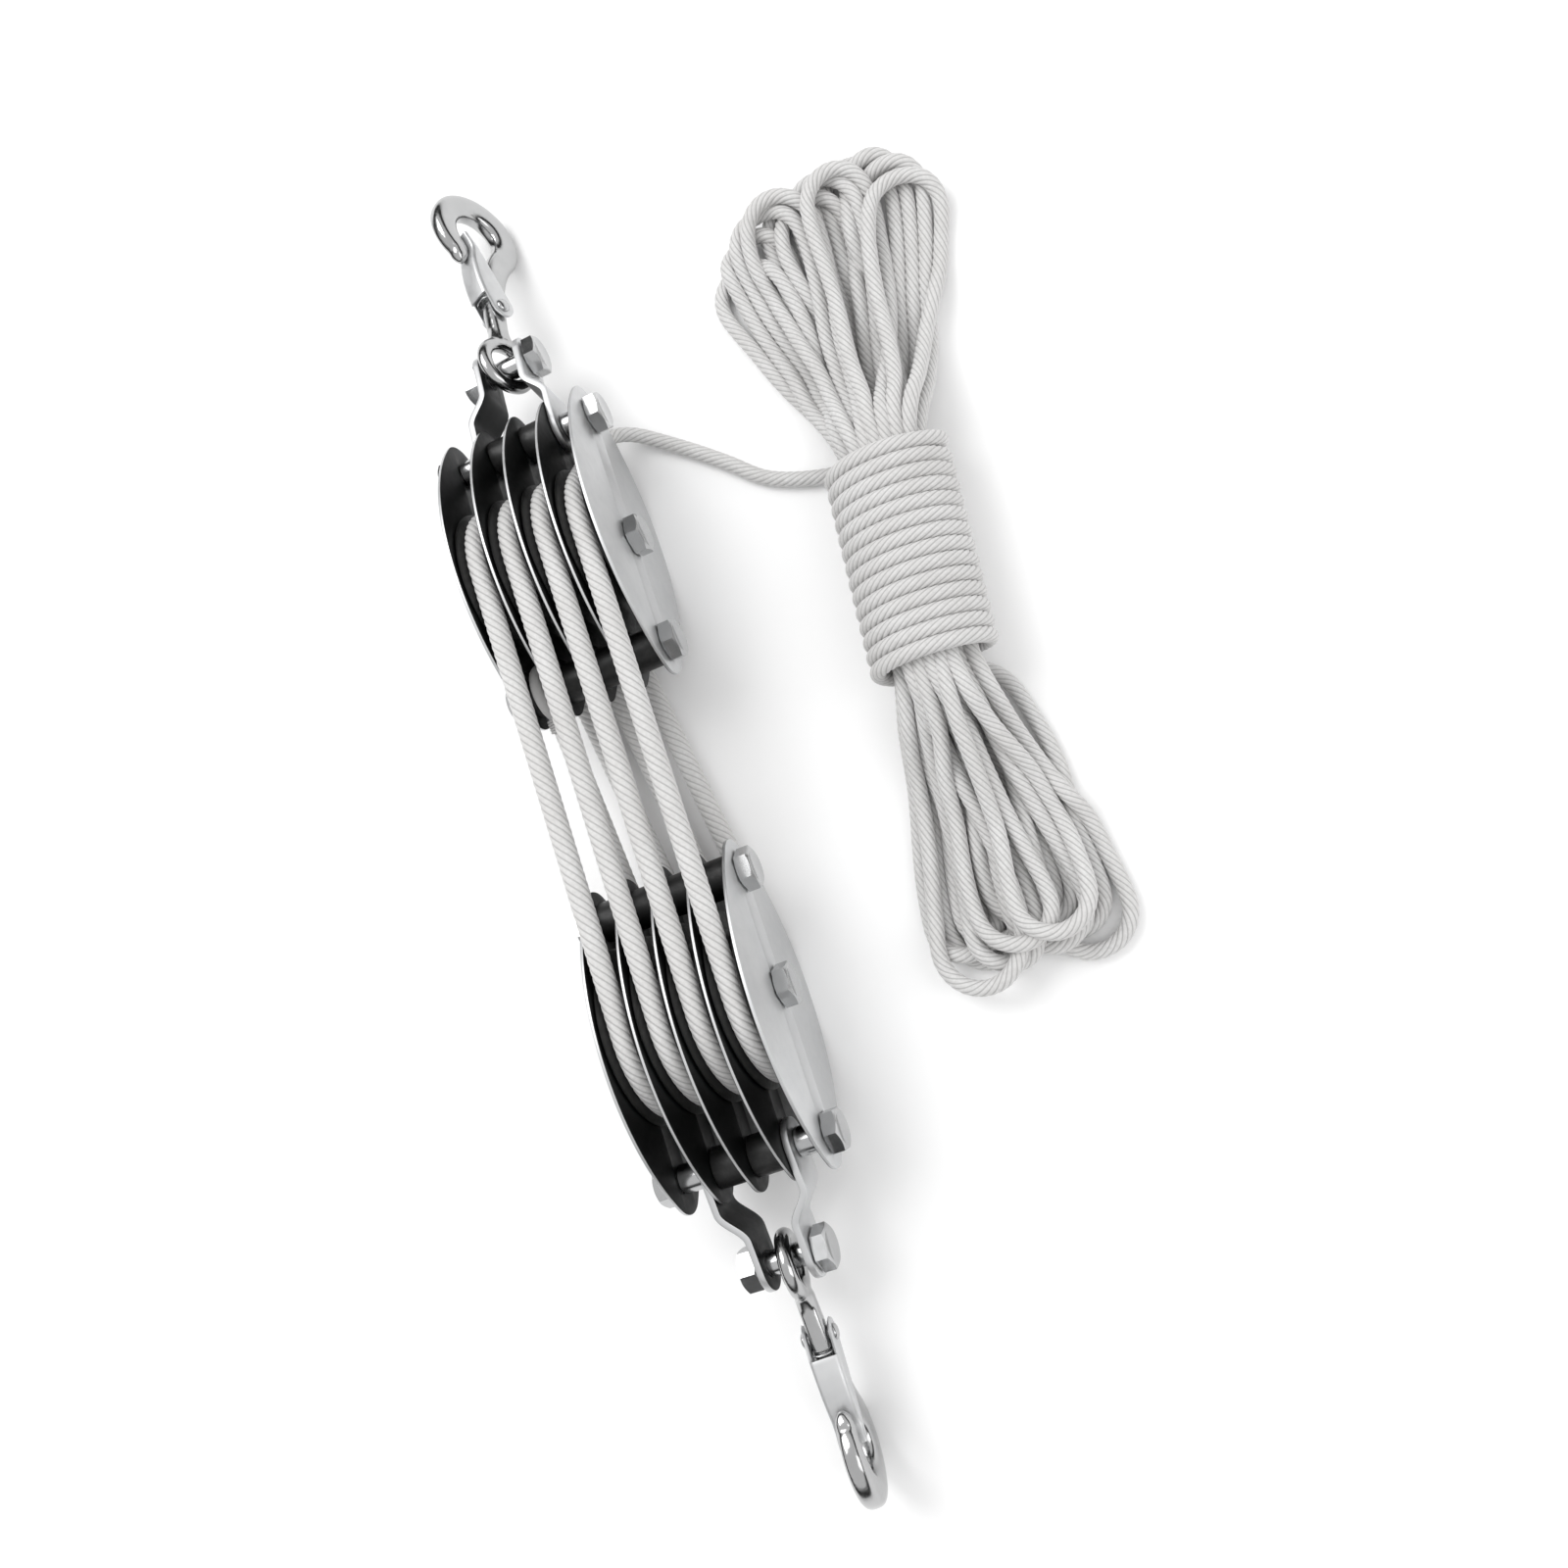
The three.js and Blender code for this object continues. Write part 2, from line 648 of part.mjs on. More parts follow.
const strandPitch = ropeDiameter + rope.formGap;
const endStep = strandPitch + hank.endGap;
const fanStep = strandPitch + hank.fanGap;
const waistStep = strandPitch * hank.waistStepShare;
const middleGap = waistStep / 4;
const bindingOffset = strandPitch / Math.cos(Math.PI / 4 / binding.cornerSteps);
const waistLift = bindingOffset;
const bindingTop = binding.turns * strandPitch / 2;
const waistHalfLength = bindingTop + hank.waistMargin;

// One strand's place after the given number of turns. It winds in for one layer and out for the next,
// climbs along the run where it reverses, and is drawn in at the waist.
function hankPoint(turn) {
  const phase = turn % (2 * hank.loopsPerLayer);
  const inward = Math.min(phase, 2 * hank.loopsPerLayer - phase);
  const nearest = Math.round(turn / hank.loopsPerLayer);
  const fromReversal = turn - nearest * hank.loopsPerLayer;
  const climb = THREE.MathUtils.clamp(fromReversal / hank.climbTurns + 1 / 2, 0, 1);
  const layer = Math.min(Math.max(nearest - 1 + climb, 0), hank.layers - 1);
  const angle = -2 * Math.PI * turn;
  const along = (hank.halfLength - endStep * inward) * Math.sin(angle);
  const spread = THREE.MathUtils.smoothstep(Math.abs(along), waistHalfLength,
    waistHalfLength + hank.spreadLength);
  const waist = middleGap + waistStep * (hank.loopsPerLayer - inward);
  const fan = (hank.fanHalfWidth - fanStep * inward - hank.fanLayerStep * layer) / Math.cos(hank.widestAngle);
  const across = (1 - spread) * waist * Math.sign(Math.cos(angle)) + spread * fan * Math.cos(angle);
  const height = rope.radius + strandPitch * layer + waistLift * (1 - spread);
  return hankPlace(across, along, height);
}

function hankRoute() {
  const startTurn = Math.asin(hank.startReach / hank.halfLength) / (2 * Math.PI);
  const route = [];
  const firstStep = Math.ceil(startTurn * hank.stepsPerLoop) + 1;
  const start = hankPoint(startTurn);
  const next = hankPoint(firstStep / hank.stepsPerLoop);
  const heading = next.clone().sub(start).normalize();
  route.push(start, start.clone().addScaledVector(heading, ropeDiameter));
  for (let step = firstStep; step <= hank.endTurn * hank.stepsPerLoop; step += 1) {
    route.push(hankPoint(step / hank.stepsPerLoop));
  }
  const last = route[route.length - 1];
  const before = route[route.length - 2];
  route.push(last.clone().addScaledVector(last.clone().sub(before).normalize(), ropeDiameter));
  return route;
}

// Binding round the hank's waist: it comes in along the surface from the left, passes under the strands
// first, and its last pass under them leads to the hank's first strand.
const waistRight = middleGap + waistStep * hank.loopsPerLayer;
const waistLeft = waistRight - waistStep / 2;
const waistMiddle = (waistRight - waistLeft) / 2;
const bindingHalfWidth = (waistRight + waistLeft) / 2;
const bindingHalfHeight = strandPitch * (hank.layers - 1) / 2;
const bindingHeight = rope.radius + waistLift + bindingHalfHeight;
const bindingFloor = bindingHeight - bindingHalfHeight - bindingOffset;

function bindingRoute(hankStart, hankHeading) {
  const corners = [
    [1, -1, -Math.PI / 2],
    [1, 1, 0],
    [-1, 1, Math.PI / 2],
    [-1, -1, Math.PI],
  ];
  const quarter = Math.PI / 2;
  const turn = [];
  for (const [across, up, from] of corners) {
    for (let step = 0; step <= binding.cornerSteps; step += 1) {
      const angle = from + quarter * step / binding.cornerSteps;
      turn.push([
        waistMiddle + across * bindingHalfWidth + bindingOffset * Math.cos(angle),
        bindingHeight + up * bindingHalfHeight + bindingOffset * Math.sin(angle),
      ]);
    }
  }
  const left = waistMiddle - bindingHalfWidth;
  const leadAlong = bindingTop + strandPitch / turn.length;
  const route = [hankPlace(left - binding.leadIn, leadAlong, bindingFloor)];
  route.push(hankPlace(left - binding.leadIn + ropeDiameter, leadAlong, bindingFloor));
  for (let count = 0; count < binding.turns; count += 1) {
    turn.forEach(([across, height], index) => {
      const share = count + (index + 1) / turn.length;
      route.push(hankPlace(across, bindingTop - strandPitch * share, height));
    });
  }
  const tailAlong = bindingTop - strandPitch * (binding.turns + 1 / turn.length);
  const tailStart = hankPlace(waistMiddle + binding.tailStart, tailAlong, bindingFloor);
  const across = hankPlace(1, 0, 0).sub(hankPlace(0, 0, 0));
  const tailEnd = hankStart.clone().addScaledVector(hankHeading, -fit);
  const tailStraight = tailEnd.clone().addScaledVector(hankHeading, -ropeDiameter);
  const tail = new THREE.CubicBezierCurve3(
    tailStart,
    tailStart.clone().addScaledVector(across, binding.tailPull / 2),
    tailStraight.clone().addScaledVector(hankHeading, -binding.tailPull / 2),
    tailStraight,
  );
  route.push(...tail.getPoints(binding.tailSteps), tailEnd);
  return route;
}

// The hauling part: down past the tie bolt, out under the last plate, across the surface to the binding.
function haulingRoute(from, heading, to) {
  const toHeading = hankPlace(1, 0, 0).sub(hankPlace(0, 0, 0));
  const start = from.clone().addScaledVector(heading, fit);
  const end = to.clone().addScaledVector(toHeading, -fit);
  const curve = new THREE.CatmullRomCurve3([
    start.clone().addScaledVector(heading, ropeDiameter),
    ...hauling.places.map(([x, past, height]) => new THREE.Vector3(x, axleSpacing / 2 + past, height)),
    end.clone().addScaledVector(toHeading, -ropeDiameter),
  ], false, 'centripetal');
  const route = [start, ...curve.getSpacedPoints(hauling.steps), end];
  route.forEach((point) => {
    point.z = Math.max(point.z, rope.radius);
  });
  return route;
}

function addRope() {
  const round = () => [rope.radius, rope.radius];
  const up = new THREE.Vector3(0, 0, 1);
  const reeved = reevedRoute();
  const reevedEnd = reeved[reeved.length - 1];
  const reevedHeading = reevedEnd.clone().sub(reeved[reeved.length - 2]).normalize();
  const wound = hankRoute();
  const hankHeading = wound[1].clone().sub(wound[0]).normalize();
  const bound = bindingRoute(wound[0], hankHeading);
  const led = haulingRoute(reevedEnd, reevedHeading, bound[0]);
  addPiece(assembly, 'reeved_rope', sweep(reeved, rope.sides, round, up, true), ropeFibre());
  addPiece(assembly, 'hauling_part', sweep(led, rope.sides, round, up, true), ropeFibre());
  addPiece(assembly, 'hank', sweep(wound, rope.formSides, round, up, false), ropeFibre());
  addPiece(assembly, 'hank_binding', sweep(bound, rope.formSides, round, up, false), ropeFibre());
  console.log('least gap of the hank to itself', leastGap(wound, ropeDiameter).toFixed(2), 'mm');
  console.log('least gap of the binding to itself', leastGap(bound, ropeDiameter).toFixed(2), 'mm');
}

addBlock('upper', 1);
addBlock('lower', -1);
addRope();

export default part;
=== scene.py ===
"""Rope block and tackle lying on a pale floor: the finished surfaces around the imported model.

Lengths are millimetres in the frame's own axes, and mesh points become metres when a piece is made.
"""

import json
from contextlib import contextmanager
from functools import cache
from math import acos, atan2, ceil, copysign, cos, pi, radians, sin, sqrt, tan
from types import SimpleNamespace as Sizes

import bmesh
import bpy
import numpy as np
from mathutils import Matrix, Vector
from mathutils.geometry import tessellate_polygon


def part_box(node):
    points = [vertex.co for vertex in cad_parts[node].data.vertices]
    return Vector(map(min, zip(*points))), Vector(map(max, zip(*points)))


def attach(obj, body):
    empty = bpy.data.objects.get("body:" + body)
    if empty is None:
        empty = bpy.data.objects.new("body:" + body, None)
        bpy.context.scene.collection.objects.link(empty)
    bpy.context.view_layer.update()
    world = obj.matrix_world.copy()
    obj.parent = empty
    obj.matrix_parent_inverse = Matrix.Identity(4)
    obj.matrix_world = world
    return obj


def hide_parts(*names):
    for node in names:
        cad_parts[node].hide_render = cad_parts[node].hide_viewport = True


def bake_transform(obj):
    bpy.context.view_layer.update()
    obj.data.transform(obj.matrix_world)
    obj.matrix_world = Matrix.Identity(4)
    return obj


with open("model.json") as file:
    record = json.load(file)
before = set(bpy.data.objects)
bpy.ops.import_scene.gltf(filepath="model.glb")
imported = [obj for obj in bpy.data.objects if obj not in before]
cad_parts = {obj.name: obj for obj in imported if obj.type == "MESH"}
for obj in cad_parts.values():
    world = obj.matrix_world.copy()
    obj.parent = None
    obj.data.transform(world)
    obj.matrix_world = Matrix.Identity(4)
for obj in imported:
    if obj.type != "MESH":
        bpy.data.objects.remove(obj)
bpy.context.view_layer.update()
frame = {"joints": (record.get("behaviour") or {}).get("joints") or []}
MM = 0.001
TURN = 2 * pi
joints = {joint["name"]: joint for joint in frame["joints"]}
SIDES = {"upper": 1, "lower": -1}
UP = np.array([0.0, 0.0, 1.0])


# Measures read from the frame, in millimetres.
def box(node):
    low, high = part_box(node)
    return np.array(low) / MM, np.array(high) / MM


def middle(node):
    low, high = box(node)
    return (low + high) / 2


def joint_place(name):
    return np.array(joints[name]["pos_m"]) / MM


AXLE = {name: joint_place(f"{name}_sheave_1_spin") for name in SIDES}
SHEAVES = range(1, 5)
PLATES = range(1, 6)
ASSEMBLY_X = AXLE["upper"][0]
AXLE_HEIGHT = AXLE["upper"][2]

# Rope: the lay of its strands, and the radius of its middle surface in the falls and in the hank.
ROPE_RADIUS = 3.5
FALL_RADIUS = 4.4
HANK_RADIUS = 3.25
LAY_LENGTH = 30.0
STRANDS = 8
POINTS_PER_STRAND = 4
STRAND_RELIEF = 0.42
STRAND_MIDDLE_SHARE = 0.6
ROPE_STEP = 1.5
FALLS_EASING = 4
FREE_EASING = 6
END_ROUNDING = 2.5
END_LEAST_SHARE = 0.02
THINNING_LENGTH = 60.0
TOUCH_GAP = 0.3

# Side plates, with their three holes at the axle and at both ends.
PLATE = Sizes(half_width=39.0, end_radius=14.0, hook_end=59.5, rope_end=49.0, hole=5.3, bevel=0.3)

# The rope's way through the blocks.
GROOVE_RADIUS = 27.2
FLANGE_RADIUS = 37.5
WRAP_RADIUS = 31.97
WRAP_STEPS = 48
CHANNEL_PITCH = 16.0
CHANNELS = 4
BECKET_RADIUS = 8.8
LEAVE_ANGLE = radians(39.5)
HAUL_LEAD = 30.0

# Hauling part: X, distance past the upper axle, and height.
HAULING_PLACES = [
    (26.6, 56, 18.5), (32, 60.5, 12), (40, 59, 7.2), (50, 52, 4.4), (62, 42, 3.5), (76, 29, 3.5),
    (90, 15, 3.5),
]

# Hank: its middle and lean in plan, and the places of its strands inside the binding.
HANK_CENTRE = (137.0 + ASSEMBLY_X, 48.0, 0.0)
HANK_LEAN = radians(6.3)
WAIST_STEP = 8.305
LAYERS = 4
STRANDS_PER_LAYER = 6
STRAND_GAP = 0.2

# Each bight in the order wound, from the bottom fan and the top fan in turn: where it ends, across and
# along the hank from its middle, and half its width.
BIGHTS = [
    (33, -163, 14.5), (16, 188, 14.5), (11, -160, 14.5), (-16, 182, 14.5),
    (-9, -166, 14.5), (-45, 158, 14.5), (-16, -162, 14.5), (-39, 171, 14.5),
    (-3, -160, 14.5), (-8, 178, 14.5), (17, -157, 14.5), (25, 186, 14.5),
    (40, -172, 15.0), (31, 180, 15.0), (22, -165, 14.5), (0, 184, 14.5),
    (3, -170, 14.5), (-31, 178, 14.5), (-10, -177, 17.5), (-23, 181, 14.5),
    (8, -163, 14.5), (8, 182, 14.5), (27, -162, 14.5), (37, 171, 15.0),
]
FAN_ORIGIN = 20.0
LEG_SHARE = 0.45
TIE_SHARE = 0.8
BIGHT_STEPS = 6
CURVE_STEPS = 10
WANDER = 1.3
WANDER_LENGTH = 19.0
WANDER_SHIFT = 1.9
HUMP_RADIUS = 55.0
EASE_LENGTH = 32.0
NEIGHBOURS = 8

# Settling of the loops: each round sinks every point, parts strands that touch and evens the moves.
SETTLE = Sizes(
    step=3.0, rounds=200, pairing=12, apart=2.2, push=1.4, sink=0.1, squeeze=0.5, back=0.05, ramp=30.0,
)

# Binding round the hank's waist: an ellipse in the cross-section, wound from the top down.
BINDING = Sizes(turns=14, steps=72, top=45.3, half=np.array([24.2, 18.9]), height=22.64)
LEAD = Sizes(reach=8.0, rise=8.4, steps=12)
ENTRY = Sizes(rise=6.0, turns=0.4)
TAIL = Sizes(pull=18.0, reach=25.0, spread=3.0, steps=24)
WAIST_MARGIN = 0.7


def smoothstep(value, low, high):
    share = np.clip((value - low) / (high - low), 0, 1)
    return share * share * (3 - 2 * share)


def unit(vector):
    return np.asarray(vector, float) / np.linalg.norm(vector)


def polar(angles):
    return np.stack([np.cos(angles), np.sin(angles)], axis=-1)


def around(count):
    """That many even angles of a full turn."""
    return TURN * np.arange(count) / count


def configured(thing, **settings):
    for name, value in settings.items():
        setattr(thing, name, value)
    return thing


def new_object(name, data):
    thing = bpy.data.objects.new(name, data)
    bpy.context.scene.collection.objects.link(thing)
    return thing


# Camera: the photograph's place and direction, as its right, up and back axes.
CAMERA_PLACE = (0.1958, -0.1299, 0.5662)
CAMERA_RIGHT = (0.90281, -0.31646, -0.29119)
CAMERA_UP = (0.35689, 0.92913, 0.09672)
CAMERA_LENS = 31.435
SENSOR = 36.0


def add_camera():
    data = bpy.data.cameras.new("camera")
    configured(data, sensor_width=SENSOR, lens=CAMERA_LENS, clip_start=0.01, clip_end=50)
    camera = new_object("camera", data)
    right, up = Vector(CAMERA_RIGHT).normalized(), Vector(CAMERA_UP).normalized()
    back = right.cross(up).normalized()
    turn = Matrix((right, back.cross(right), back)).transposed().to_4x4()
    camera.matrix_world = Matrix.Translation(CAMERA_PLACE) @ turn
    bpy.context.scene.camera = camera


# Meshes
def place_all(points, origin, axes):
    """Points given along three axes, moved to where the axes are."""
    return np.asarray(origin) + np.asarray(points, float) @ np.asarray(axes, float)


def add_mesh(name, mesh, origin=(0, 0, 0), axes=np.eye(3)):
    """An object of that mesh's points and faces, placed by its origin and axes."""
    points, faces = mesh
    data = bpy.data.meshes.new(name)
    data.from_pydata((place_all(points, origin, axes) * MM).tolist(), [], faces)
    data.update()
    return new_object(name, data)


@contextmanager
def edited(piece):
    """The piece's mesh opened for editing, and put back."""
    edit = bmesh.new()
    edit.from_mesh(piece.data)
    yield edit
    edit.to_mesh(piece.data)
    edit.free()


def face_outwards(piece):
    with edited(piece) as edit:
        bmesh.ops.recalc_face_normals(edit, faces=edit.faces)


def add_modifier(piece, kind, **settings):
    configured(piece.modifiers.new(kind, kind), **settings)


def apply_modifiers(piece):
    graph = bpy.context.evaluated_depsgraph_get()
    mesh = bpy.data.meshes.new_from_object(piece.evaluated_get(graph))
    piece.modifiers.clear()
    piece.data = mesh


def finish_piece(piece, body, slot, replaced=(), sharp=40):
    """Smooths all but edges sharper than that many degrees, and gives the piece its body and slot."""
    face_outwards(piece)
    piece.data.shade_smooth()
    piece.data.set_sharp_from_angle(angle=radians(sharp))
    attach(piece, body)
    piece.data.materials.append(material(slot))
    if replaced:
        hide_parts(*replaced)


def mark_painted_shade_faces(piece, signs, least):
    """Marks the faces that look along X at a sheave or a neighbour, for painted shade: they see only dark
    parts, so they are coloured near-black.
    """
    face_outwards(piece)
    marks = piece.data.attributes.new("painted_shade_mask", "FLOAT", "FACE")
    for face, mark in zip(piece.data.polygons, marks.data):
        mark.value = float(any(face.normal.x * sign > least for sign in signs))


def strips(rings, sides, closed=False, wrap=True):
    """Quads between rings of the same number of points."""
    faces = []
    for ring in range(rings if closed else rings - 1):
        here, there = ring * sides, (ring + 1) % rings * sides
        for side in range(sides if wrap else sides - 1):
            after = (side + 1) % sides
            faces.append((here + side, here + after, there + after, there + side))
    return faces


def capped(rings, sides):
    """Quads between rings, and a face over each end."""
    last = (rings - 1) * sides
    return [*strips(rings, sides), tuple(range(sides))[::-1], tuple(range(last, last + sides))]


def turned(profile, segments=96, closed=True):
    """A profile of radius and X turned about X; either may be a function of the angle."""
    angles = around(segments)
    points = []
    for ring in profile:
        size, along = (value(angles) if callable(value) else np.full(segments, value) for value in ring)
        points.append(np.column_stack([along, size[:, None] * polar(angles)]))
    faces = strips(len(profile), segments, closed) if closed else capped(len(profile), segments)
    return np.concatenate(points), faces


def arc(centre, radius, start, end, steps):
    """Points of an arc in degrees, both ends included."""
    return centre + radius * polar(np.radians(np.linspace(start, end, steps + 1)))


def mirrored(profile):
    """The profile and, in reverse, its mirror image; a place at zero isn't repeated."""
    return [*profile, *[(size, -place) for size, place in reversed(profile) if place]]


# Rope
def lengths(points):
    """How far along the line each point lies."""
    return np.concatenate([[0], np.cumsum(np.linalg.norm(np.diff(points, axis=0), axis=1))])


def tube_points(line, normal, sizes, angles):
    """Rings round the line, and the normal carried to its end without twist."""
    step = np.diff(line, axis=0)
    step /= np.linalg.norm(step, axis=1)[:, None]
    tangents = np.concatenate([step[:1], step[1:] + step[:-1], step[-1:]])
    tangents /= np.linalg.norm(tangents, axis=1)[:, None]
    normals = np.empty_like(tangents)
    for index, tangent in enumerate(tangents):
        normal = unit(normal - tangent * (normal @ tangent))
        normals[index] = normal
    beside = (sizes * np.cos(angles))[..., None] * normals[:, None]
    across = (sizes * np.sin(angles))[..., None] * np.cross(tangents, normals)[:, None]
    return (line[:, None] + beside + across).reshape(-1, 3), normal


def resampled(points, step):
    points = np.asarray(points, float)
    length = lengths(points)
    places = np.linspace(0, length[-1], ceil(length[-1] / step) + 1)
    return np.stack([np.interp(places, length, points[:, axis]) for axis in range(3)], axis=1)


def softened(points, rounds):
    """The line with its corners eased, its ends kept."""
    points = points.copy()
    for _ in range(rounds):
        points[1:-1] = points[1:-1] / 2 + (points[:-2] + points[2:]) / 4
    return points


def rope_tube(name, line, radii, normal, twist=0.0, rounded_end=False):
    """A laid rope along the line; returns it with the normal and the twist that it ends with."""
    along = lengths(line)
    sides = STRANDS * POINTS_PER_STRAND
    phase = np.arange(sides) / POINTS_PER_STRAND
    relief = STRAND_RELIEF * (np.abs(np.sin(pi * phase)) - STRAND_MIDDLE_SHARE)
    size = np.reshape(radii, (-1, 1)) + relief
    if rounded_end:
        left = np.clip((along[-1] - along) / END_ROUNDING, 0, 1)
        size = size * np.sqrt(np.clip(1 - (1 - left) ** 2, END_LEAST_SHARE, 1))[:, None]
    turns = twist - along / LAY_LENGTH
    angles = TURN * (np.arange(sides) / sides + turns[:, None])
    points, normal = tube_points(line, normal, size, angles)
    piece = add_mesh(name, (points, capped(len(line), sides)))
    ring, side = np.indices((len(line) - 1, sides)).reshape(2, -1, 1)
    uv = np.zeros((len(piece.data.loops), 2))
    uv[: 4 * len(ring), 0] = along[ring + [0, 0, 1, 1]].reshape(-1) / LAY_LENGTH
    uv[: 4 * len(ring), 1] = (side + [0, 1, 1, 0]).reshape(-1) / sides
    piece.data.uv_layers.new(name="lay").data.foreach_set("uv", uv.reshape(-1))
    piece.data.shade_smooth()
    piece.data.materials.append(material("rope"))
    return piece, normal, turns[-1]


def channel_x(index):
    return ASSEMBLY_X + (index - (CHANNELS - 1) / 2) * CHANNEL_PITCH


def wrapped(x, y, start, end):
    """The rope's arc round the sheave whose middle is at that X and Y."""
    places = [y, AXLE_HEIGHT] + WRAP_RADIUS * polar(np.linspace(start, end, WRAP_STEPS + 1))
    return np.column_stack([np.full(len(places), x), places])


def reeved_route():
    """From the dead end through every sheave to the start of the hauling part."""
    upper, lower = AXLE["upper"][1], AXLE["lower"][1]
    crossing = PLATE.rope_end + (PLATE.end_radius - FLANGE_RADIUS) / 2 + FALL_RADIUS
    end = np.array([channel_x(0), upper - PLATE.rope_end, AXLE_HEIGHT])
    first_angle = -acos(WRAP_RADIUS / (end[1] - lower))
    quarter = pi / 2
    route = []
    for index in range(CHANNELS):
        x = channel_x(index)
        route.append(wrapped(x, lower, -quarter if index else first_angle, -3 * quarter))
        if index < CHANNELS - 1:
            low = AXLE_HEIGHT - WRAP_RADIUS
            route.append(wrapped(x, upper, quarter, -quarter))
            route.append([(x, upper - crossing, low), (channel_x(index + 1), lower + crossing, low)])
    route.append(wrapped(x, upper, quarter, LEAVE_ANGLE))
    first = end + unit(route[0][0] - end) * BECKET_RADIUS
    heading = np.array([0, sin(LEAVE_ANGLE), -cos(LEAVE_ANGLE)])
    return np.concatenate([[first], *route, [route[-1][-1] + heading * HAUL_LEAD]])


def hank_place(points):
    """Places across, along and above the hank, turned and moved to where it lies."""
    c, s = polar(HANK_LEAN)
    return place_all(points, HANK_CENTRE, [(c, -s, 0), (s, c, 0), UP])


WAIST_MIDDLE = WAIST_STEP / 4
STRAND_HALF = BINDING.half - 2 * HANK_RADIUS - STRAND_GAP
WAIST_END = BINDING.top + WAIST_MARGIN
FLOOR_HEIGHT = HANK_RADIUS + STRAND_RELIEF


def waist_slot(number):
    """Across and height of a strand inside the binding.

    The layers run across and back in turn, each a quarter of a step further across than the last.
    """
    layer, column = divmod(number, STRANDS_PER_LAYER)
    if layer % 2 == 0:
        column = STRANDS_PER_LAYER - 1 - column
    place = column * LAYERS + layer
    side = 2 * place / (LAYERS * STRANDS_PER_LAYER - 1) - 1
    rise = 2 * layer / (LAYERS - 1) - 1
    across = WAIST_MIDDLE + STRAND_HALF[0] * side * sqrt(1 - rise**2 / 2)
    return across, BINDING.height + STRAND_HALF[1] * rise * sqrt(1 - side**2 / 2)


def bight_line(number, first, last):
    """From the waist round a bight and back, across and along; first and last are across the waist."""
    across, along, half = BIGHTS[number]
    sign = copysign(1, along)
    end = np.array([across, along], float)
    axis = unit(end - [WAIST_MIDDLE, sign * FAN_ORIGIN])
    rightwards = first < last or (first == last and across > WAIST_MIDDLE)
    beside = np.array([axis[1], -axis[0]]) * (-sign if rightwards else sign)
    centre = end - axis * half
    turn = [
        centre + half * (axis * sin(angle) + beside * cos(angle))
        for angle in np.linspace(0, pi, BIGHT_STEPS + 1)
    ]
    gate = sign * WAIST_END
    ways = []
    for place, turn_end in ((first, turn[0]), (last, turn[-1])):
        way_out = np.array([place, gate])
        leg = way_out + (turn_end - way_out) * LEG_SHARE
        ways.append([(place, TIE_SHARE * gate), way_out, leg])
    line = [*ways[0], *turn, *ways[1][::-1]]
    return np.column_stack([line, np.zeros(len(line))])


def laid_height(places, settled):
    """The least height of strands that lie at these places over those already settled."""
    height = np.full(len(places), FLOOR_HEIGHT)
    reach = 2 * HANK_RADIUS + STRAND_GAP
    for index, place in enumerate(places):
        gap = np.hypot(settled[:, 0] - place[0], settled[:, 1] - place[1])
        near = gap < reach
        if near.any():
            over = settled[near, 2] + np.sqrt(reach**2 - gap[near] ** 2)
            height[index] = max(height[index], over.max())
    return height


def humped(height, along):
    """The heights eased into long low humps."""
    drop = (along[:, None] - along[None, :]) ** 2 / (2 * HUMP_RADIUS)
    return (height[None, :] - drop).max(axis=1)


def near_pairs(line, reach, apart):
    """Points of the line closer than reach that lie more than apart steps from each other along it."""
    square = (line**2).sum(axis=1)
    gap = square[:, None] + square[None, :] - 2 * line @ line.T
    first, second = np.nonzero(gap < reach**2)
    kept = second - first > apart
    return first[kept], second[kept]


def settle_down(line):
    """The loops sunk onto the floor and each other, tied at the waist as they were."""
    free = smoothstep(np.abs(line[:, 1]), WAIST_END, WAIST_END + SETTLE.ramp)[:, None]
    home = line.copy()
    home[:, 2] -= (home[:, 2] - FLOOR_HEIGHT) * (1 - SETTLE.squeeze) * free[:, 0]
    line = home.copy()
    reach = 2 * HANK_RADIUS + STRAND_GAP / 2
    apart = round(SETTLE.apart * reach / SETTLE.step)
    count = len(line)
    for turn in range(SETTLE.rounds):
        if turn % SETTLE.pairing == 0:
            first, second = near_pairs(line, reach + SETTLE.step, apart)
        line[:, 2] -= SETTLE.sink * free[:, 0]
        way = line[second] - line[first]
        gap = np.linalg.norm(way, axis=1)
        near = gap < reach
        push = 0.5 * way[near] * ((reach - gap[near]) / np.maximum(gap[near], 0.01))[:, None]
        hits = np.bincount(first[near], minlength=count) + np.bincount(second[near], minlength=count)
        for axis in range(3):
            shift = np.bincount(second[near], push[:, axis], count)
            shift -= np.bincount(first[near], push[:, axis], count)
            line[:, axis] += SETTLE.push * shift * free[:, 0] / np.maximum(hits, 1)
        away = line - home
        away[:, :2] *= 1 - SETTLE.back
        line = home + softened(away, 2) * free
        line[:, 2] = np.maximum(line[:, 2], FLOOR_HEIGHT)
    return line


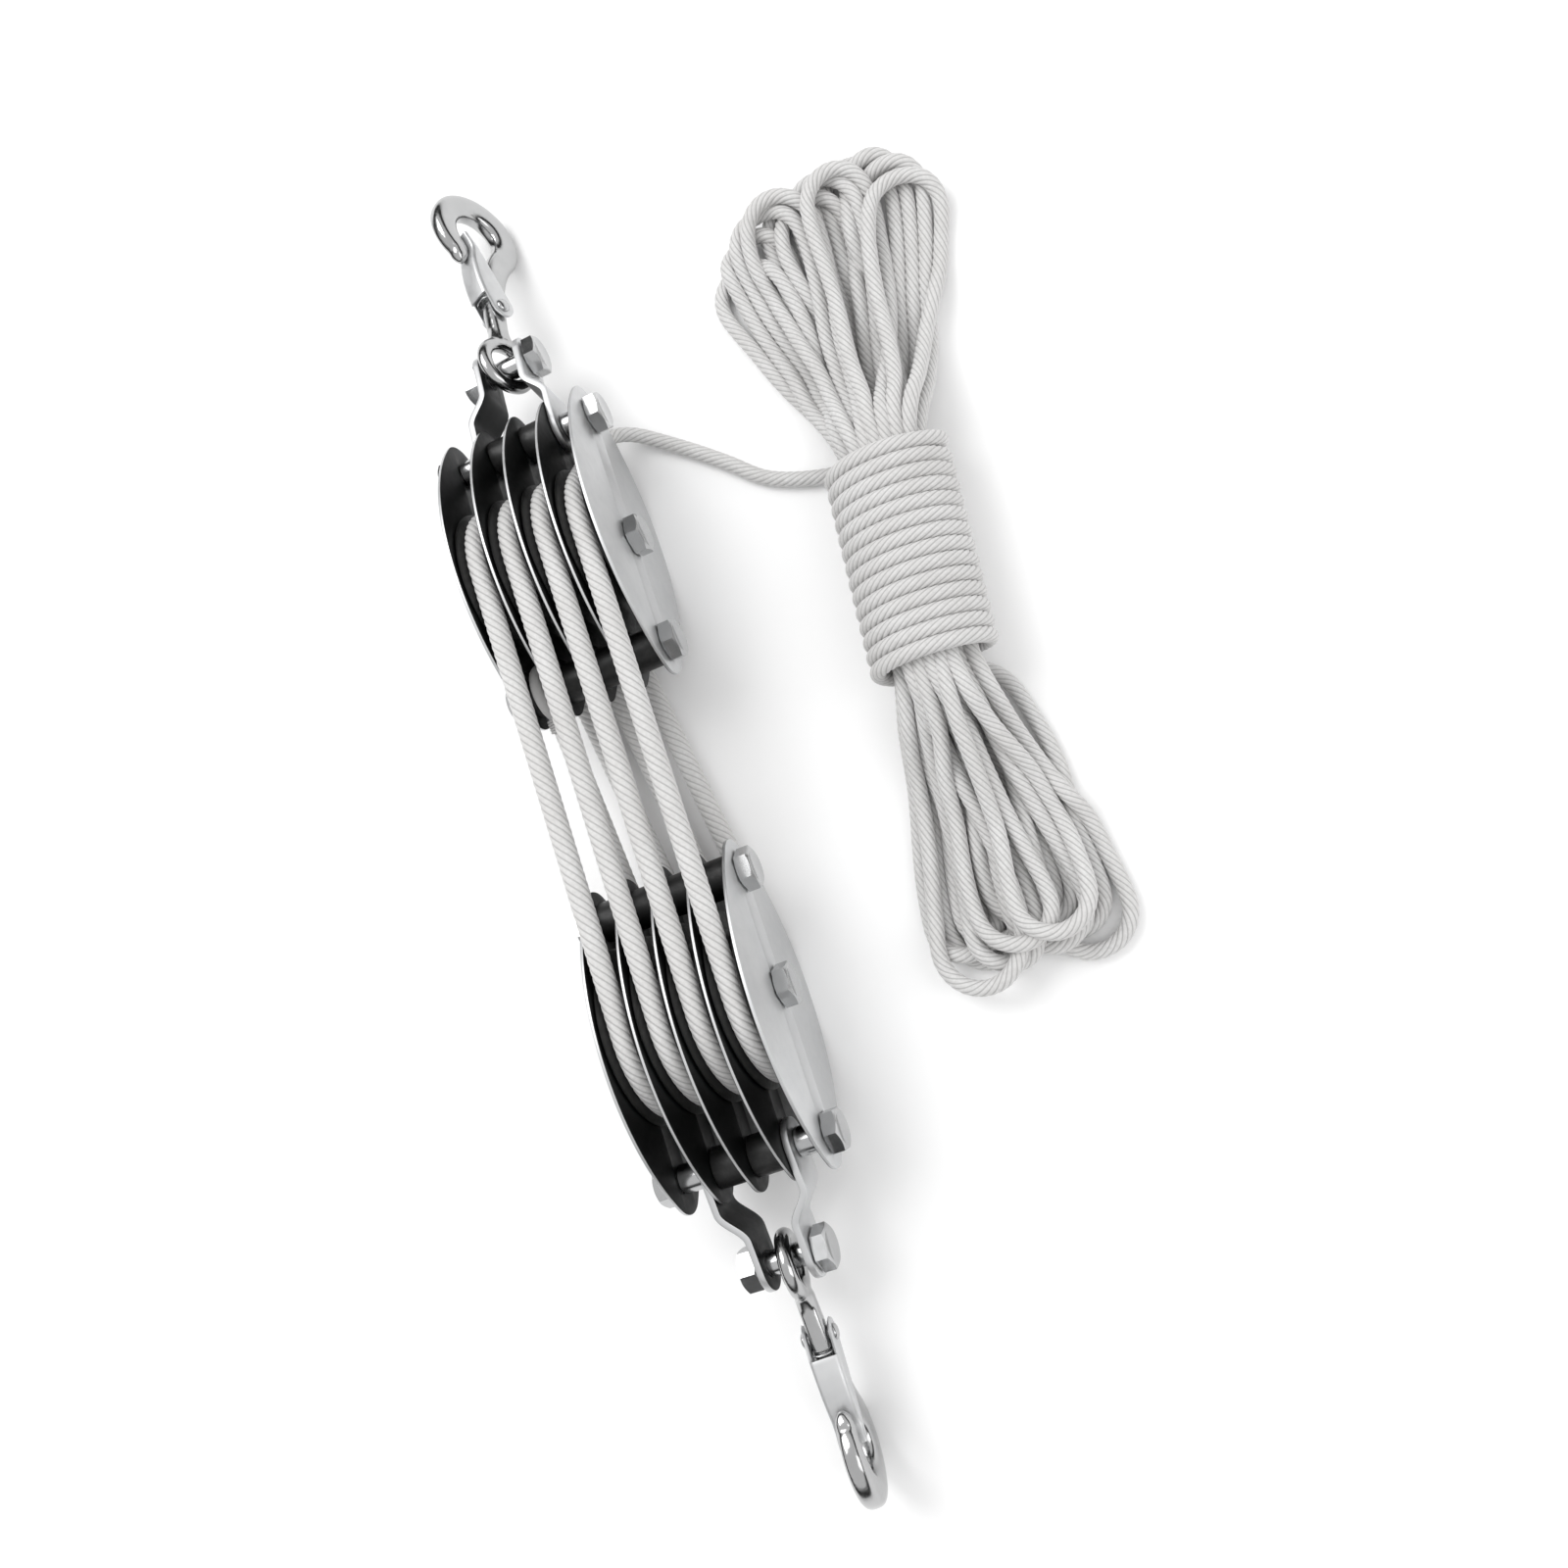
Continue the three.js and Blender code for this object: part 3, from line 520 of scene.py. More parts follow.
def hank_route(start):
    """The hank's line across, along and above its middle, each strand laid over those before it."""
    settled = [start[:-NEIGHBOURS]]
    route = [start]
    count = len(BIGHTS)
    for number in range(count):
        first = waist_slot(number - 1) if number else (start[-1, 0], start[-1, 2])
        last = waist_slot(number)
        drawn = bight_line(number, first[0], last[0])
        if number == 0:
            drawn = np.concatenate([start[-1:], drawn[2:]])
        line = resampled(smooth_line(drawn, CURVE_STEPS), ROPE_STEP)
        place = lengths(line)
        spread = smoothstep(np.abs(line[:, 1]), WAIST_END, WAIST_END + EASE_LENGTH)
        line[:, 0] += WANDER * spread * np.sin(place / WANDER_LENGTH + WANDER_SHIFT * number)
        half = len(line) // 2
        ground = np.concatenate(settled)
        line[:half, 2] = humped(laid_height(line[:half], ground), place[:half])
        line[half:, 2] = laid_height(line[half:], np.concatenate([ground, line[: half - NEIGHBOURS]]))
        line[:, 2] = humped(line[:, 2], place)
        tied = np.where(np.arange(len(line)) < half, first[1], last[1])
        line[:, 2] = (1 - spread) * tied + spread * line[:, 2]
        settled.append(line)
        if number + 1 < count:
            through = np.array([[last[0], line[-1, 1], last[1]], [last[0], -line[-1, 1], last[1]]])
            route += [line, resampled(through, ROPE_STEP)[1:-1]]
        else:
            route += [line, np.array([[last[0], 0, last[1]]])]
    return settle_down(resampled(np.concatenate(route), SETTLE.step))


def cubic(places, steps):
    """A cubic curve through its two ends, drawn to its two handles."""
    share = np.linspace(0, 1, steps + 1)[:, None]
    rest = 1 - share
    a, b, c, d = (np.asarray(place, float) for place in places)
    return rest**3 * a + 3 * rest**2 * share * b + 3 * rest * share**2 * c + share**3 * d


def between(first, last, low, high, place):
    return ((high - place) * first + (place - low) * last) / (high - low)


def smooth_line(places, steps):
    """A centripetal curve through the places."""
    places = np.asarray(places, float)
    before, after = 2 * places[0] - places[1], 2 * places[-1] - places[-2]
    places = np.concatenate([[before], places, [after]])
    knots = np.concatenate([[0], np.cumsum(np.sqrt(np.linalg.norm(np.diff(places, axis=0), axis=1)))])
    line = []
    for index in range(1, len(places) - 2):
        p, k = places[index - 1 : index + 3], knots[index - 1 : index + 3]
        for t in np.linspace(k[1], k[2], steps, endpoint=False):
            first = [between(p[i], p[i + 1], k[i], k[i + 1], t) for i in range(3)]
            second = [between(first[i], first[i + 1], k[i], k[i + 2], t) for i in range(2)]
            line.append(between(*second, k[1], k[2], t))
    return np.array([*line, places[-2]])


def free_route(start, heading):
    """The rope from the last sheave over the floor, round the hank's waist and through its loops."""
    share = np.arange(BINDING.turns * BINDING.steps + 1) / BINDING.steps
    oval = BINDING.half * polar(TURN * share - pi / 2)
    along = BINDING.top - 2 * BINDING.top * share / BINDING.turns
    along = along + ENTRY.rise * (1 - smoothstep(share, 0, ENTRY.turns))
    bound = hank_place(np.column_stack([WAIST_MIDDLE + oval[:, 0], along, BINDING.height + oval[:, 1]]))
    lead = hank_place((WAIST_MIDDLE - BINDING.half[0] - LEAD.reach, BINDING.top + LEAD.rise, FLOOR_HEIGHT))
    hauling = [(ASSEMBLY_X + x, AXLE["upper"][1] + past, z) for x, past, z in HAULING_PLACES]
    hauled = smooth_line([start, start + heading * 2 * ROPE_RADIUS, *hauling, lead, bound[0]], LEAD.steps)
    tail = [(0, 0), (TAIL.pull, 0), (TAIL.reach, -TAIL.pull / 2), (TAIL.reach + TAIL.spread, -TAIL.pull)]
    tail = [(WAIST_MIDDLE + across, along - BINDING.top, FLOOR_HEIGHT) for across, along in tail]
    wound = hank_place(hank_route(resampled(cubic(tail, TAIL.steps), ROPE_STEP)))
    route = np.concatenate([hauled[:-1], bound[:-1], wound])
    route[:, 2] = np.maximum(route[:, 2], FLOOR_HEIGHT)
    return route


def add_rope():
    reeved = softened(resampled(reeved_route(), ROPE_STEP), FALLS_EASING)
    along = lengths(reeved)
    thinning = smoothstep(along[-1] - along, 0, THINNING_LENGTH)
    radii = HANK_RADIUS + (FALL_RADIUS - HANK_RADIUS) * thinning
    falls, normal, twist = rope_tube("rope_falls", reeved, radii, UP)
    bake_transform(falls)
    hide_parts("reeved_rope")
    heading = unit(reeved[-1] - reeved[-2])
    route = softened(resampled(free_route(reeved[-1], heading), ROPE_STEP), FREE_EASING)
    free, _, _ = rope_tube("rope_hank", route, HANK_RADIUS, normal, twist, rounded_end=True)
    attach(free, "upper_block")
    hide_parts("hauling_part", "hank", "hank_binding")


# Blocks
def rounded(centre, radius, start, end, steps):
    """An arc's points with their outward normals, its last point left out."""
    normals = polar(start + (end - start) * np.arange(steps) / steps)
    return centre + radius * normals, normals


def joined(*pieces):
    return np.concatenate([p for p, _ in pieces]), np.concatenate([n for _, n in pieces])


def hole(centre, radius, steps=40):
    points, normals = rounded(centre, radius, 0, TURN, steps)
    return points, -normals


def slab(loops, half, bevel, steps=2):
    """A flat plate of that half thickness with rounded edges: X across it, the loops in Y and Z."""
    turns = np.linspace(0, pi / 2, steps + 1)
    profile = mirrored([(bevel * (sin(a) - 1), bevel * (1 - cos(a)) - half) for a in turns])
    points, faces, flats = [], [], [[], []]
    start = 0
    for line, normals in loops:
        for offset, height in profile:
            points.append(np.column_stack([np.full(len(line), height), line + offset * normals]))
        count = len(line)
        faces += [tuple(start + index for index in face) for face in strips(len(profile), count)]
        last = start + (len(profile) - 1) * count
        flats[0].append(range(start, start + count))
        flats[1].append(range(last, last + count))
        start += len(profile) * count
    points = np.concatenate(points)
    for rings in flats:
        order = [index for ring in rings for index in ring]
        flat = [[Vector((0, *points[index][1:])) for index in ring] for ring in rings]
        faces += [tuple(order[index] for index in triangle) for triangle in tessellate_polygon(flat)]
    return points, faces


def plate_loops(side):
    """The lens-shaped outline with round ends and its three holes, in Y and Z about the axle."""
    front, back = PLATE.hook_end, -PLATE.rope_end
    half, centre = (front - back) / 2, (front + back) / 2
    width, end = PLATE.half_width, PLATE.end_radius
    edge = (half**2 + width**2 - end**2) / (2 * (width - end))
    drop = edge - width
    join = atan2(drop, half)
    outline = joined(
        rounded((front, 0), end, -join, join, 36),
        rounded((centre, -drop), edge, join, pi - join, 48),
        rounded((back, 0), end, pi - join, pi + join, 36),
        rounded((centre, drop), edge, pi + join, TURN - join, 48),
    )
    loops = [outline, *[hole((reach, 0), PLATE.hole) for reach in (front, 0, back)]]
    return [(points * [side, 1], normals * [side, 1]) for points, normals in loops]


def add_plates(name, side):
    for number in PLATES:
        node = f"{name}_plate_{number}"
        low, high = box(node)
        sheet = slab(plate_loops(side), (high[0] - low[0]) / 2, PLATE.bevel)
        piece = add_mesh(f"{node}_sheet", sheet, (middle(node)[0], *AXLE[name][1:]))
        # The faces towards a neighbouring plate or sheave are marked for painted shade.
        mark_painted_shade_faces(piece, [sign for sign in (-1, 1) if number + sign in PLATES], 0.3)
        finish_piece(piece, f"{name}_block", "zinc_plate", [node], 25)


# The lip is given as drops below the rim and distances in from the side.
SHEAVE = Sizes(
    half=6.6, bore=5.3, edge=0.4, hub=13.0, recess=0.9, web_end=24.5, rim=0.7,
    lip=[(0.25, 0.85), (0.9, 1.2)], wall_angle=125, rope_fit=4.6,
)


def sheave_profile():
    """Half of the section as radius and X, from the bore out to the rim and down to the groove."""
    half, edge, recess = SHEAVE.half, SHEAVE.edge, SHEAVE.recess
    rim, fit = SHEAVE.rim, SHEAVE.rope_fit
    return [
        (SHEAVE.bore, half - edge),
        (SHEAVE.bore + edge, half),
        (SHEAVE.hub, half),
        (SHEAVE.hub + recess, half - recess),
        (SHEAVE.web_end, half - recess),
        (SHEAVE.web_end + recess, half),
        *arc((FLANGE_RADIUS - rim, half - rim), rim, 90, 0, 3),
        *[(FLANGE_RADIUS - drop, half - inset) for drop, inset in SHEAVE.lip],
        *arc((GROOVE_RADIUS + fit, 0), fit, SHEAVE.wall_angle, 180, 5)[:-1],
        (GROOVE_RADIUS, 0),
    ]


def add_sheaves(name):
    for number in SHEAVES:
        node = f"{name}_sheave_{number}"
        wheel = turned(mirrored(sheave_profile()))
        piece = add_mesh(f"{node}_wheel", wheel, (middle(node)[0], *AXLE[name][1:]))
        finish_piece(piece, node, "black_nylon", [node])


SPACER_CHAMFER = 0.35


def add_spacers(name):
    for place in ("hook_end", "rope_end"):
        for number in SHEAVES:
            node = f"{name}_{place}_spacer_{number}"
            low, high = box(node)
            half, _, radius = (high - low) / 2
            chamfer = [(radius - SPACER_CHAMFER, half), (radius, half - SPACER_CHAMFER)]
            tube = turned(mirrored([(PLATE.hole, half), *chamfer]), 64)
            piece = add_mesh(f"{node}_tube", tube, middle(node))
            steel = place == "hook_end" and number in (1, CHANNELS)
            slot = "bolt_steel" if steel else "black_nylon"
            finish_piece(piece, f"{name}_block", slot, [node], 30)


BOLT = Sizes(
    radius=5.0, across=16.0, head=6.4, dish=0.15, dish_slope=0.3, dish_rim=0.8, washer=0.4, pitch=1.5,
    threads=6, thread_depth=0.55, point=0.5, nut=8.0, nut_bore=4.9, nut_mouth=5.8, nut_sink=0.8,
)
HEX_FLAT = 0.95 * BOLT.across / 2
CHAMFER_SLOPE = tan(radians(30))
HEX_SEGMENTS = 72
NEAR_AXIS = 0.01


def hex_radius(angles):
    sixth = pi / 3
    return BOLT.across / 2 / np.cos((angles + sixth / 2) % sixth - sixth / 2)


def hex_end(face, direction):
    """The chamfered edge of a hexagon whose flat end is at face; direction points out of it."""
    return hex_radius, lambda angles: face - direction * CHAMFER_SLOPE * (hex_radius(angles) - HEX_FLAT)


def bolt_profile(under, end):
    """The head from its middle to its underside, then the shank with its thread down to its end."""
    radius, pitch = BOLT.radius, BOLT.pitch
    root = radius - BOLT.thread_depth
    top, washer = under + BOLT.head, under + BOLT.washer
    rim = HEX_FLAT - BOLT.dish_rim
    rings = [
        (NEAR_AXIS, top - BOLT.dish),
        (rim - BOLT.dish_slope, top - BOLT.dish),
        (rim, top),
        (HEX_FLAT, top),
        hex_end(top, 1),
        (hex_radius, washer),
        (HEX_FLAT, washer),
        (HEX_FLAT, under),
        (radius, under),
    ]
    for count in range(BOLT.threads, 0, -1):
        rings += [(radius, end + count * pitch), (root, end + (count - 0.5) * pitch)]
    return [*rings, (root - BOLT.point, end), (NEAR_AXIS, end)]


def nut_profile(start, end):
    """A nut chamfered on both faces, from start to end along X."""
    bore, mouth, sink = BOLT.nut_bore, BOLT.nut_mouth, BOLT.nut_sink
    first_face = [(bore, start + sink), (mouth, start), (HEX_FLAT, start), hex_end(start, -1)]
    return [*first_face, hex_end(end, 1), (HEX_FLAT, end), (mouth, end), (bore, end - sink)]


# How far each hexagon has been turned by the spanner, in degrees: head, nut.
SPANNER = {
    "upper_axle": (8, 22), "upper_hook_end": (25, 5), "upper_rope_end": (14, 40),
    "lower_axle": (18, 10), "lower_hook_end": (3, 33), "lower_rope_end": (28, 17),
    "upper_hook": (12, 30), "lower_hook": (20, 6),
}


def add_bolt(name, spot, body, nut=None):
    """A bolt and its nut; the nut is a range along X where it has no node of its own."""
    node = f"{name}_{spot}_bolt"
    low, high = box(node)
    nut_nodes = [] if nut else [f"{name}_{spot}_nut"]
    if not nut:
        nut = [corner[0] for corner in box(*nut_nodes)]
    pieces = [
        (f"{node}_hex", bolt_profile(high[0] - BOLT.head, low[0]), False, [node]),
        (f"{name}_{spot}_nut_hex", nut_profile(*nut), True, nut_nodes),
    ]
    for (hexagon, profile, closed, nodes), angle in zip(pieces, SPANNER[f"{name}_{spot}"]):
        c, s = polar(radians(angle))
        mesh, axes = turned(profile, HEX_SEGMENTS, closed), [(1, 0, 0), (0, c, s), (0, -s, c)]
        piece = add_mesh(hexagon, mesh, (0, *middle(node)[1:]), axes)
        finish_piece(piece, body, "bolt_steel", nodes, 28)


# Straps
STRAP = Sizes(
    length=42.0, half_width=10.5, thickness=3.0, block_inner=17.1, hook_inner=8.75, bend=(15.0, 29.0),
    bend_steps=14, bevel=0.5,
)


def strap_mesh(hand):
    """A flat bar cranked inwards; X across the tackle, Y from the block's bolt to the hook's."""
    length, width, thickness = STRAP.length, STRAP.half_width, STRAP.thickness
    outline = joined(
        rounded((length, 0), width, -pi / 2, pi / 2, 32),
        rounded((0, 0), width, pi / 2, 3 * pi / 2, 32),
        (np.array([[0.0, -width]]), np.array([[0.0, -1.0]])),
    )
    holes = [hole((reach, 0), PLATE.hole, 32) for reach in (0, length)]
    bar = add_mesh("bar", slab([outline, *holes], thickness / 2, STRAP.bevel))
    start, end = STRAP.bend
    with edited(bar) as edit:
        for place in np.linspace(start, end, STRAP.bend_steps + 1) * MM:
            parts = [*edit.verts, *edit.edges, *edit.faces]
            bmesh.ops.bisect_plane(edit, geom=parts, plane_co=(0, place, 0), plane_no=(0, 1, 0))
    points = np.array([vertex.co for vertex in bar.data.vertices]) / MM
    faces = [tuple(face.vertices) for face in bar.data.polygons]
    bpy.data.meshes.remove(bar.data)
    share = np.clip((points[:, 1] - start) / (end - start), 0, 1)
    drop = STRAP.block_inner - STRAP.hook_inner
    slope = 6 * share * (1 - share) * drop / (end - start)
    centre = STRAP.block_inner - drop * smoothstep(share, 0, 1) + thickness / 2
    points[:, 0] = hand * (centre + points[:, 0] * np.sqrt(1 + slope**2))
    return points, faces


def add_straps(name):
    pivot = joint_place(f"{name}_strap_swing")
    along = unit(joint_place(f"{name}_hook_swing") - pivot)
    axes = [(1, 0, 0), along, np.cross((1, 0, 0), along)]
    for hand, word in ((-1, "left"), (1, "right")):
        node = f"{name}_strap_{word}"
        piece = add_mesh(f"{node}_bar", strap_mesh(hand), pivot, axes)
        # The strap's face towards the middle is marked for painted shade.
        mark_painted_shade_faces(piece, [-hand], 0.45)
        finish_piece(piece, f"{name}_straps", "zinc_plate", [node], 25)
    nut_face = ASSEMBLY_X - STRAP.hook_inner - STRAP.thickness - TOUCH_GAP
    add_bolt(name, "hook", f"{name}_straps", (nut_face - BOLT.nut, nut_face))


# Hooks: in their own frame u runs from the hook bolt to the bowl, v towards the open side.
HOOK = Sizes(
    reach=100.0, bowl_inner=10.0, bowl_thickness=12.5, width=9.0, neck_start=15.5, neck=8.0, tip=6.5,
    back_join=230.0, tip_angle=130.0, tip_flare=30.0, tip_lead=9.0, tip_ease=3.0, crown_share=0.46,
    neck_share=0.6, tip_share=0.88, voxel=0.5, back_steps=40, bowl_steps=79, tip_steps=12, end_steps=5,
    end_start=0.4,
)
EYE = Sizes(hole=8.0, section=3.25)
FLARE = Sizes(overlap=1.5, length=14.0, steps=12, inset=0.1, spread=4.5, flat=0.7)
LATCH = Sizes(
    reach=33.0, drop=1.5, sheet=1.2, cheek=5.6, half=5.0, tip_half=4.6, overlap=5.0, web_start=7.5,
    web_share=0.78, taper_start=10.0, end_drop=0.7, corner=1.4, least_corners=2.2, least_square=0.05,
    edge=0.2, ear_start=0.12, ear_steps=9, sheet_start=1.5, sheet_steps=26,
)
# Height of the latch's web over its line at a distance from the pivot. It clears the hook's back
# with the latch pushed in, and dips under the tip.
WEB_HEIGHTS = [
    (0, 5.6), (7.5, 6.2), (15, 5.45), (20, 4.5), (25, 3.1), (29, 1.6),
    (33, -0.34), (34.5, -0.75), (36.5, -0.68), (40, 0.05), (42, 0.25),
]
RIVET = Sizes(radius=2.0, head=3.2, gap=0.1, edge=0.3, dome=1.3, height=1.65)
SPRING = Sizes(
    wire=0.4, radius=2.9, turns=1.25, steps=30, start=-0.4, gap=0.2, slack=0.1, bridge=(6.3, 4.75),
    bridge_inset=0.6,
)
BOWL_CENTRE = np.array([HOOK.reach - HOOK.bowl_inner - HOOK.bowl_thickness, 0])
BOWL_RADIUS = HOOK.bowl_inner + HOOK.bowl_thickness / 2


def hook_axes(name):
    """The hook bolt's place and the hook's u, v and across axes, from the latch's joint."""
    bolt = joint_place(f"{name}_hook_swing")
    pivot = joint_place(f"{name}_latch_swing")
    across = -unit(joints[f"{name}_latch_swing"]["axis"])
    drop = atan2(LATCH.drop, LATCH.reach)
    to_pivot = unit(pivot - bolt)
    along = cos(drop) * to_pivot + sin(drop) * np.cross(across, to_pivot)
    return bolt, [along, np.cross(across, along), across]


def hook_route():
    """Points of the body's middle line in u and v, and the length of the back before the bowl."""
    join_angle = radians(HOOK.back_join)
    join = BOWL_CENTRE + BOWL_RADIUS * polar(join_angle)
    heading = polar(join_angle + pi / 2)
    neck = np.array([HOOK.neck_start, 0])
    handle = (join[0] - neck[0]) / 3
    back = cubic([neck, neck + [handle, 0], join - heading * handle, join], HOOK.back_steps)
    bowl = arc(BOWL_CENTRE, BOWL_RADIUS, HOOK.back_join, 360 + HOOK.tip_angle, HOOK.bowl_steps)
    out = polar(radians(HOOK.tip_angle + 90 - HOOK.tip_flare))
    ahead = unit(bowl[-1] - bowl[-2])
    tip, ease = bowl[-1] + HOOK.tip_lead * out, HOOK.tip_ease
    lead = cubic([bowl[-1], bowl[-1] + ahead * ease, tip - out * ease, tip], HOOK.tip_steps)
    return np.concatenate([back[:-1], bowl[:-1], lead]), len(back) - 1


def flat_sweep(line, half_sizes, sides=32, power=3.0):
    """A tube in the u-v plane; half_sizes holds each ring's size in the plane and across it."""
    section = polar(around(sides))
    section = np.sign(section) * np.abs(section) ** (2 / power)
    rings = []
    for place, ahead, (tall, wide) in zip(line, np.gradient(line, axis=0), half_sizes):
        flat = place + np.outer(section[:, 0] * tall, unit((-ahead[1], ahead[0])))
        rings.append(np.column_stack([flat, section[:, 1] * wide]))
    return np.concatenate(rings), capped(len(line), sides)


def ring_tube(radius, tall, wide, steps, sides):
    """A ring about the third axis, of a round or oval section."""
    out = radius + tall * np.cos(around(sides))
    rise = wide * np.sin(around(sides))
    rings = [np.column_stack([np.outer(out, polar(angle)), rise]) for angle in around(steps)]
    return np.concatenate(rings), strips(steps, sides, closed=True)


def merged(*meshes):
    points, faces, start = [], [], 0
    for mesh_points, mesh_faces in meshes:
        points.append(mesh_points)
        faces += [tuple(start + index for index in face) for face in mesh_faces]
        start += len(mesh_points)
    return np.concatenate(points), faces


def hook_mesh():
    """Body, neck flare and eye, in u, v and across, still as overlapping closed shapes."""
    line, back = hook_route()
    place = np.arange(len(line), dtype=float)
    crown = back + (place[-1] - back) * HOOK.crown_share
    on_neck = place < crown
    share = np.where(on_neck, place / crown, (place[-1] - place) / (place[-1] - crown))
    full = np.where(on_neck, HOOK.neck_share, HOOK.tip_share)
    thin = np.where(on_neck, HOOK.neck, HOOK.tip)
    swell = np.sin(np.minimum(share / full, 1) * pi / 2)
    rounding = np.sqrt(np.clip((place[::-1] + HOOK.end_start) / HOOK.end_steps, 0, 1)) / 2
    sizes = [(thin + (size - thin) * swell) * rounding for size in (HOOK.bowl_thickness, HOOK.width)]
    body = flat_sweep(line, np.stack(sizes, axis=1))
    eye_radius = EYE.hole + EYE.section
    eye_centre = EYE.hole - BOLT.radius - TOUCH_GAP
    points, faces = ring_tube(eye_radius, EYE.section, EYE.section, 72, 24)
    reach = np.linspace(0, 1, FLARE.steps)
    start = eye_centre + eye_radius - FLARE.overlap
    middles = np.column_stack([start + FLARE.length * reach, 0 * reach])
    spread = np.outer((1 - reach) ** 2, (FLARE.spread, -FLARE.flat))
    flare = flat_sweep(middles, HOOK.neck / 2 - FLARE.inset + spread, power=2.4)
    return merged(body, (points + [eye_centre, 0, 0], faces), flare)


def add_hook(name):
    node = f"{name}_hook"
    piece = add_mesh(f"{node}_forging", hook_mesh(), *hook_axes(name))
    face_outwards(piece)
    add_modifier(piece, "REMESH", mode="VOXEL", voxel_size=HOOK.voxel * MM)
    add_modifier(piece, "SMOOTH", factor=0.5, iterations=10)
    apply_modifiers(piece)
    finish_piece(piece, f"{name}_hook_body", "hook_steel", [node], 80)


def latch_line():
    """The latch's pivot and direction in u and v, and its length."""
    tip = BOWL_CENTRE + BOWL_RADIUS * polar(radians(HOOK.tip_angle))
    pivot = np.array([LATCH.reach, -LATCH.drop])
    inward = unit(BOWL_CENTRE - tip)
    touch = tip + inward * (HOOK.tip / 2 + 2 * TOUCH_GAP + LATCH.sheet)
    along = unit(touch - pivot)
    length = np.linalg.norm(touch - pivot) + LATCH.overlap / 2
    return pivot, along, length


def latch_section(distance, length):
    """Across and rise of the folded sheet's middle at that distance, from edge to edge."""
    cheek, inset = LATCH.cheek, LATCH.sheet / 2
    widths = [LATCH.half + inset, LATCH.tip_half + inset]
    half = np.interp(distance, [LATCH.taper_start, length], widths)
    if distance < 0:
        top = sqrt(max(cheek**2 - distance**2, LATCH.least_square))
        bottom = -top
    else:
        places = [0, LATCH.web_share * length, length]
        top = np.interp(distance, *zip(*WEB_HEIGHTS))
        bottom = np.interp(distance, places, [-cheek, -cheek / 2, -LATCH.end_drop])
    corner = min(LATCH.corner, (top - bottom) / LATCH.least_corners)
    right = [(half, bottom + (top - corner - bottom) * share) for share in (0, 0.3, 0.65)]
    right.extend(arc((half - corner, top - corner), corner, 0, 90, 4))
    return right + [(-across, rise) for across, rise in reversed(right)]


def add_latch(name):
    node = f"{name}_latch"
    bolt, axes = hook_axes(name)
    pivot, along, length = latch_line()
    origin = place_all((*pivot, 0), bolt, axes)
    latch_axes = [(*along, 0), (-along[1], along[0], 0), (0, 0, 1)] @ np.array(axes)
    ears = -LATCH.cheek * np.cos(np.linspace(LATCH.ear_start, pi / 2, LATCH.ear_steps))
    distances = [*ears, *np.linspace(LATCH.sheet_start, length, LATCH.sheet_steps)]
    points = []
    for distance in distances:
        points += [(distance, rise, across) for across, rise in latch_section(distance, length)]
    columns = len(points) // len(distances)
    web = range(columns // 2 - 3, columns // 2 + 2)
    kept = []
    for index, face in enumerate(strips(len(distances), columns, wrap=False)):
        row, column = divmod(index, columns - 1)
        if distances[row] >= LATCH.web_start or column not in web:
            kept.append(face)
    piece = add_mesh(f"{node}_sheet", (points, kept), origin, latch_axes)
    with edited(piece) as edit:
        loose = [vertex for vertex in edit.verts if not vertex.link_faces]
        bmesh.ops.delete(edit, geom=loose, context="VERTS")
    add_modifier(piece, "SOLIDIFY", thickness=LATCH.sheet * MM, offset=0, use_even_offset=True)
    add_modifier(piece, "BEVEL", width=LATCH.edge * MM, segments=2, angle_limit=radians(50))
    apply_modifiers(piece)
    finish_piece(piece, f"{name}_latch_body", "zinc_plate", [node], 50)
    add_rivet(name, origin, np.roll(axes, 1, axis=0))
    add_spring(name, origin, latch_axes)


def add_rivet(name, origin, axes):
    """The pin through the latch's cheeks, with a domed head on each side."""
    start = LATCH.half + LATCH.sheet + RIVET.gap
    dome = polar(np.radians([75, 50, 25, 0])) * [RIVET.head, RIVET.dome]
    profile = [
        (NEAR_AXIS, start + RIVET.height),
        *(dome + [0, start + RIVET.edge]),
        (RIVET.head, start),
        (RIVET.radius, start),
    ]
    pin = turned(mirrored(profile), 40, closed=False)
    piece = add_mesh(f"{name}_latch_rivet", pin, origin, axes)
    finish_piece(piece, f"{name}_hook_body", "bolt_steel", (), 50)


def wire(name, line, radius, sides=10):
    askew = np.array([0.3, 0.5, 0.8])
    points, _ = tube_points(line, askew, radius, around(sides))
    return add_mesh(name, (points, capped(len(line), sides)))


def add_spring(name, origin, axes):
    """The latch's spring: a coil on each side of the neck, joined across it."""
    side = LATCH.half - SPRING.wire - SPRING.gap
    share = np.linspace(0, 1, SPRING.steps)
    angles = SPRING.start + TURN * SPRING.turns * share
    coil = np.column_stack([SPRING.radius * polar(angles), side - SPRING.slack * share])
    right = np.array([*coil[::-1], (*SPRING.bridge, side - SPRING.bridge_inset)])
    line = smooth_line(np.concatenate([right, right[::-1] * [1, 1, -1]]), 3)
    piece = wire(f"{name}_latch_spring", place_all(line, origin, axes), SPRING.wire)
    finish_piece(piece, f"{name}_hook_body", "bolt_steel", (), 80)


BECKET = Sizes(thick=2.2, wide=3.0, gap=0.15)
SEIZING = Sizes(turns=5, steps=16, start=2.0, pitch=1.2, gap=0.7, wire=0.6)


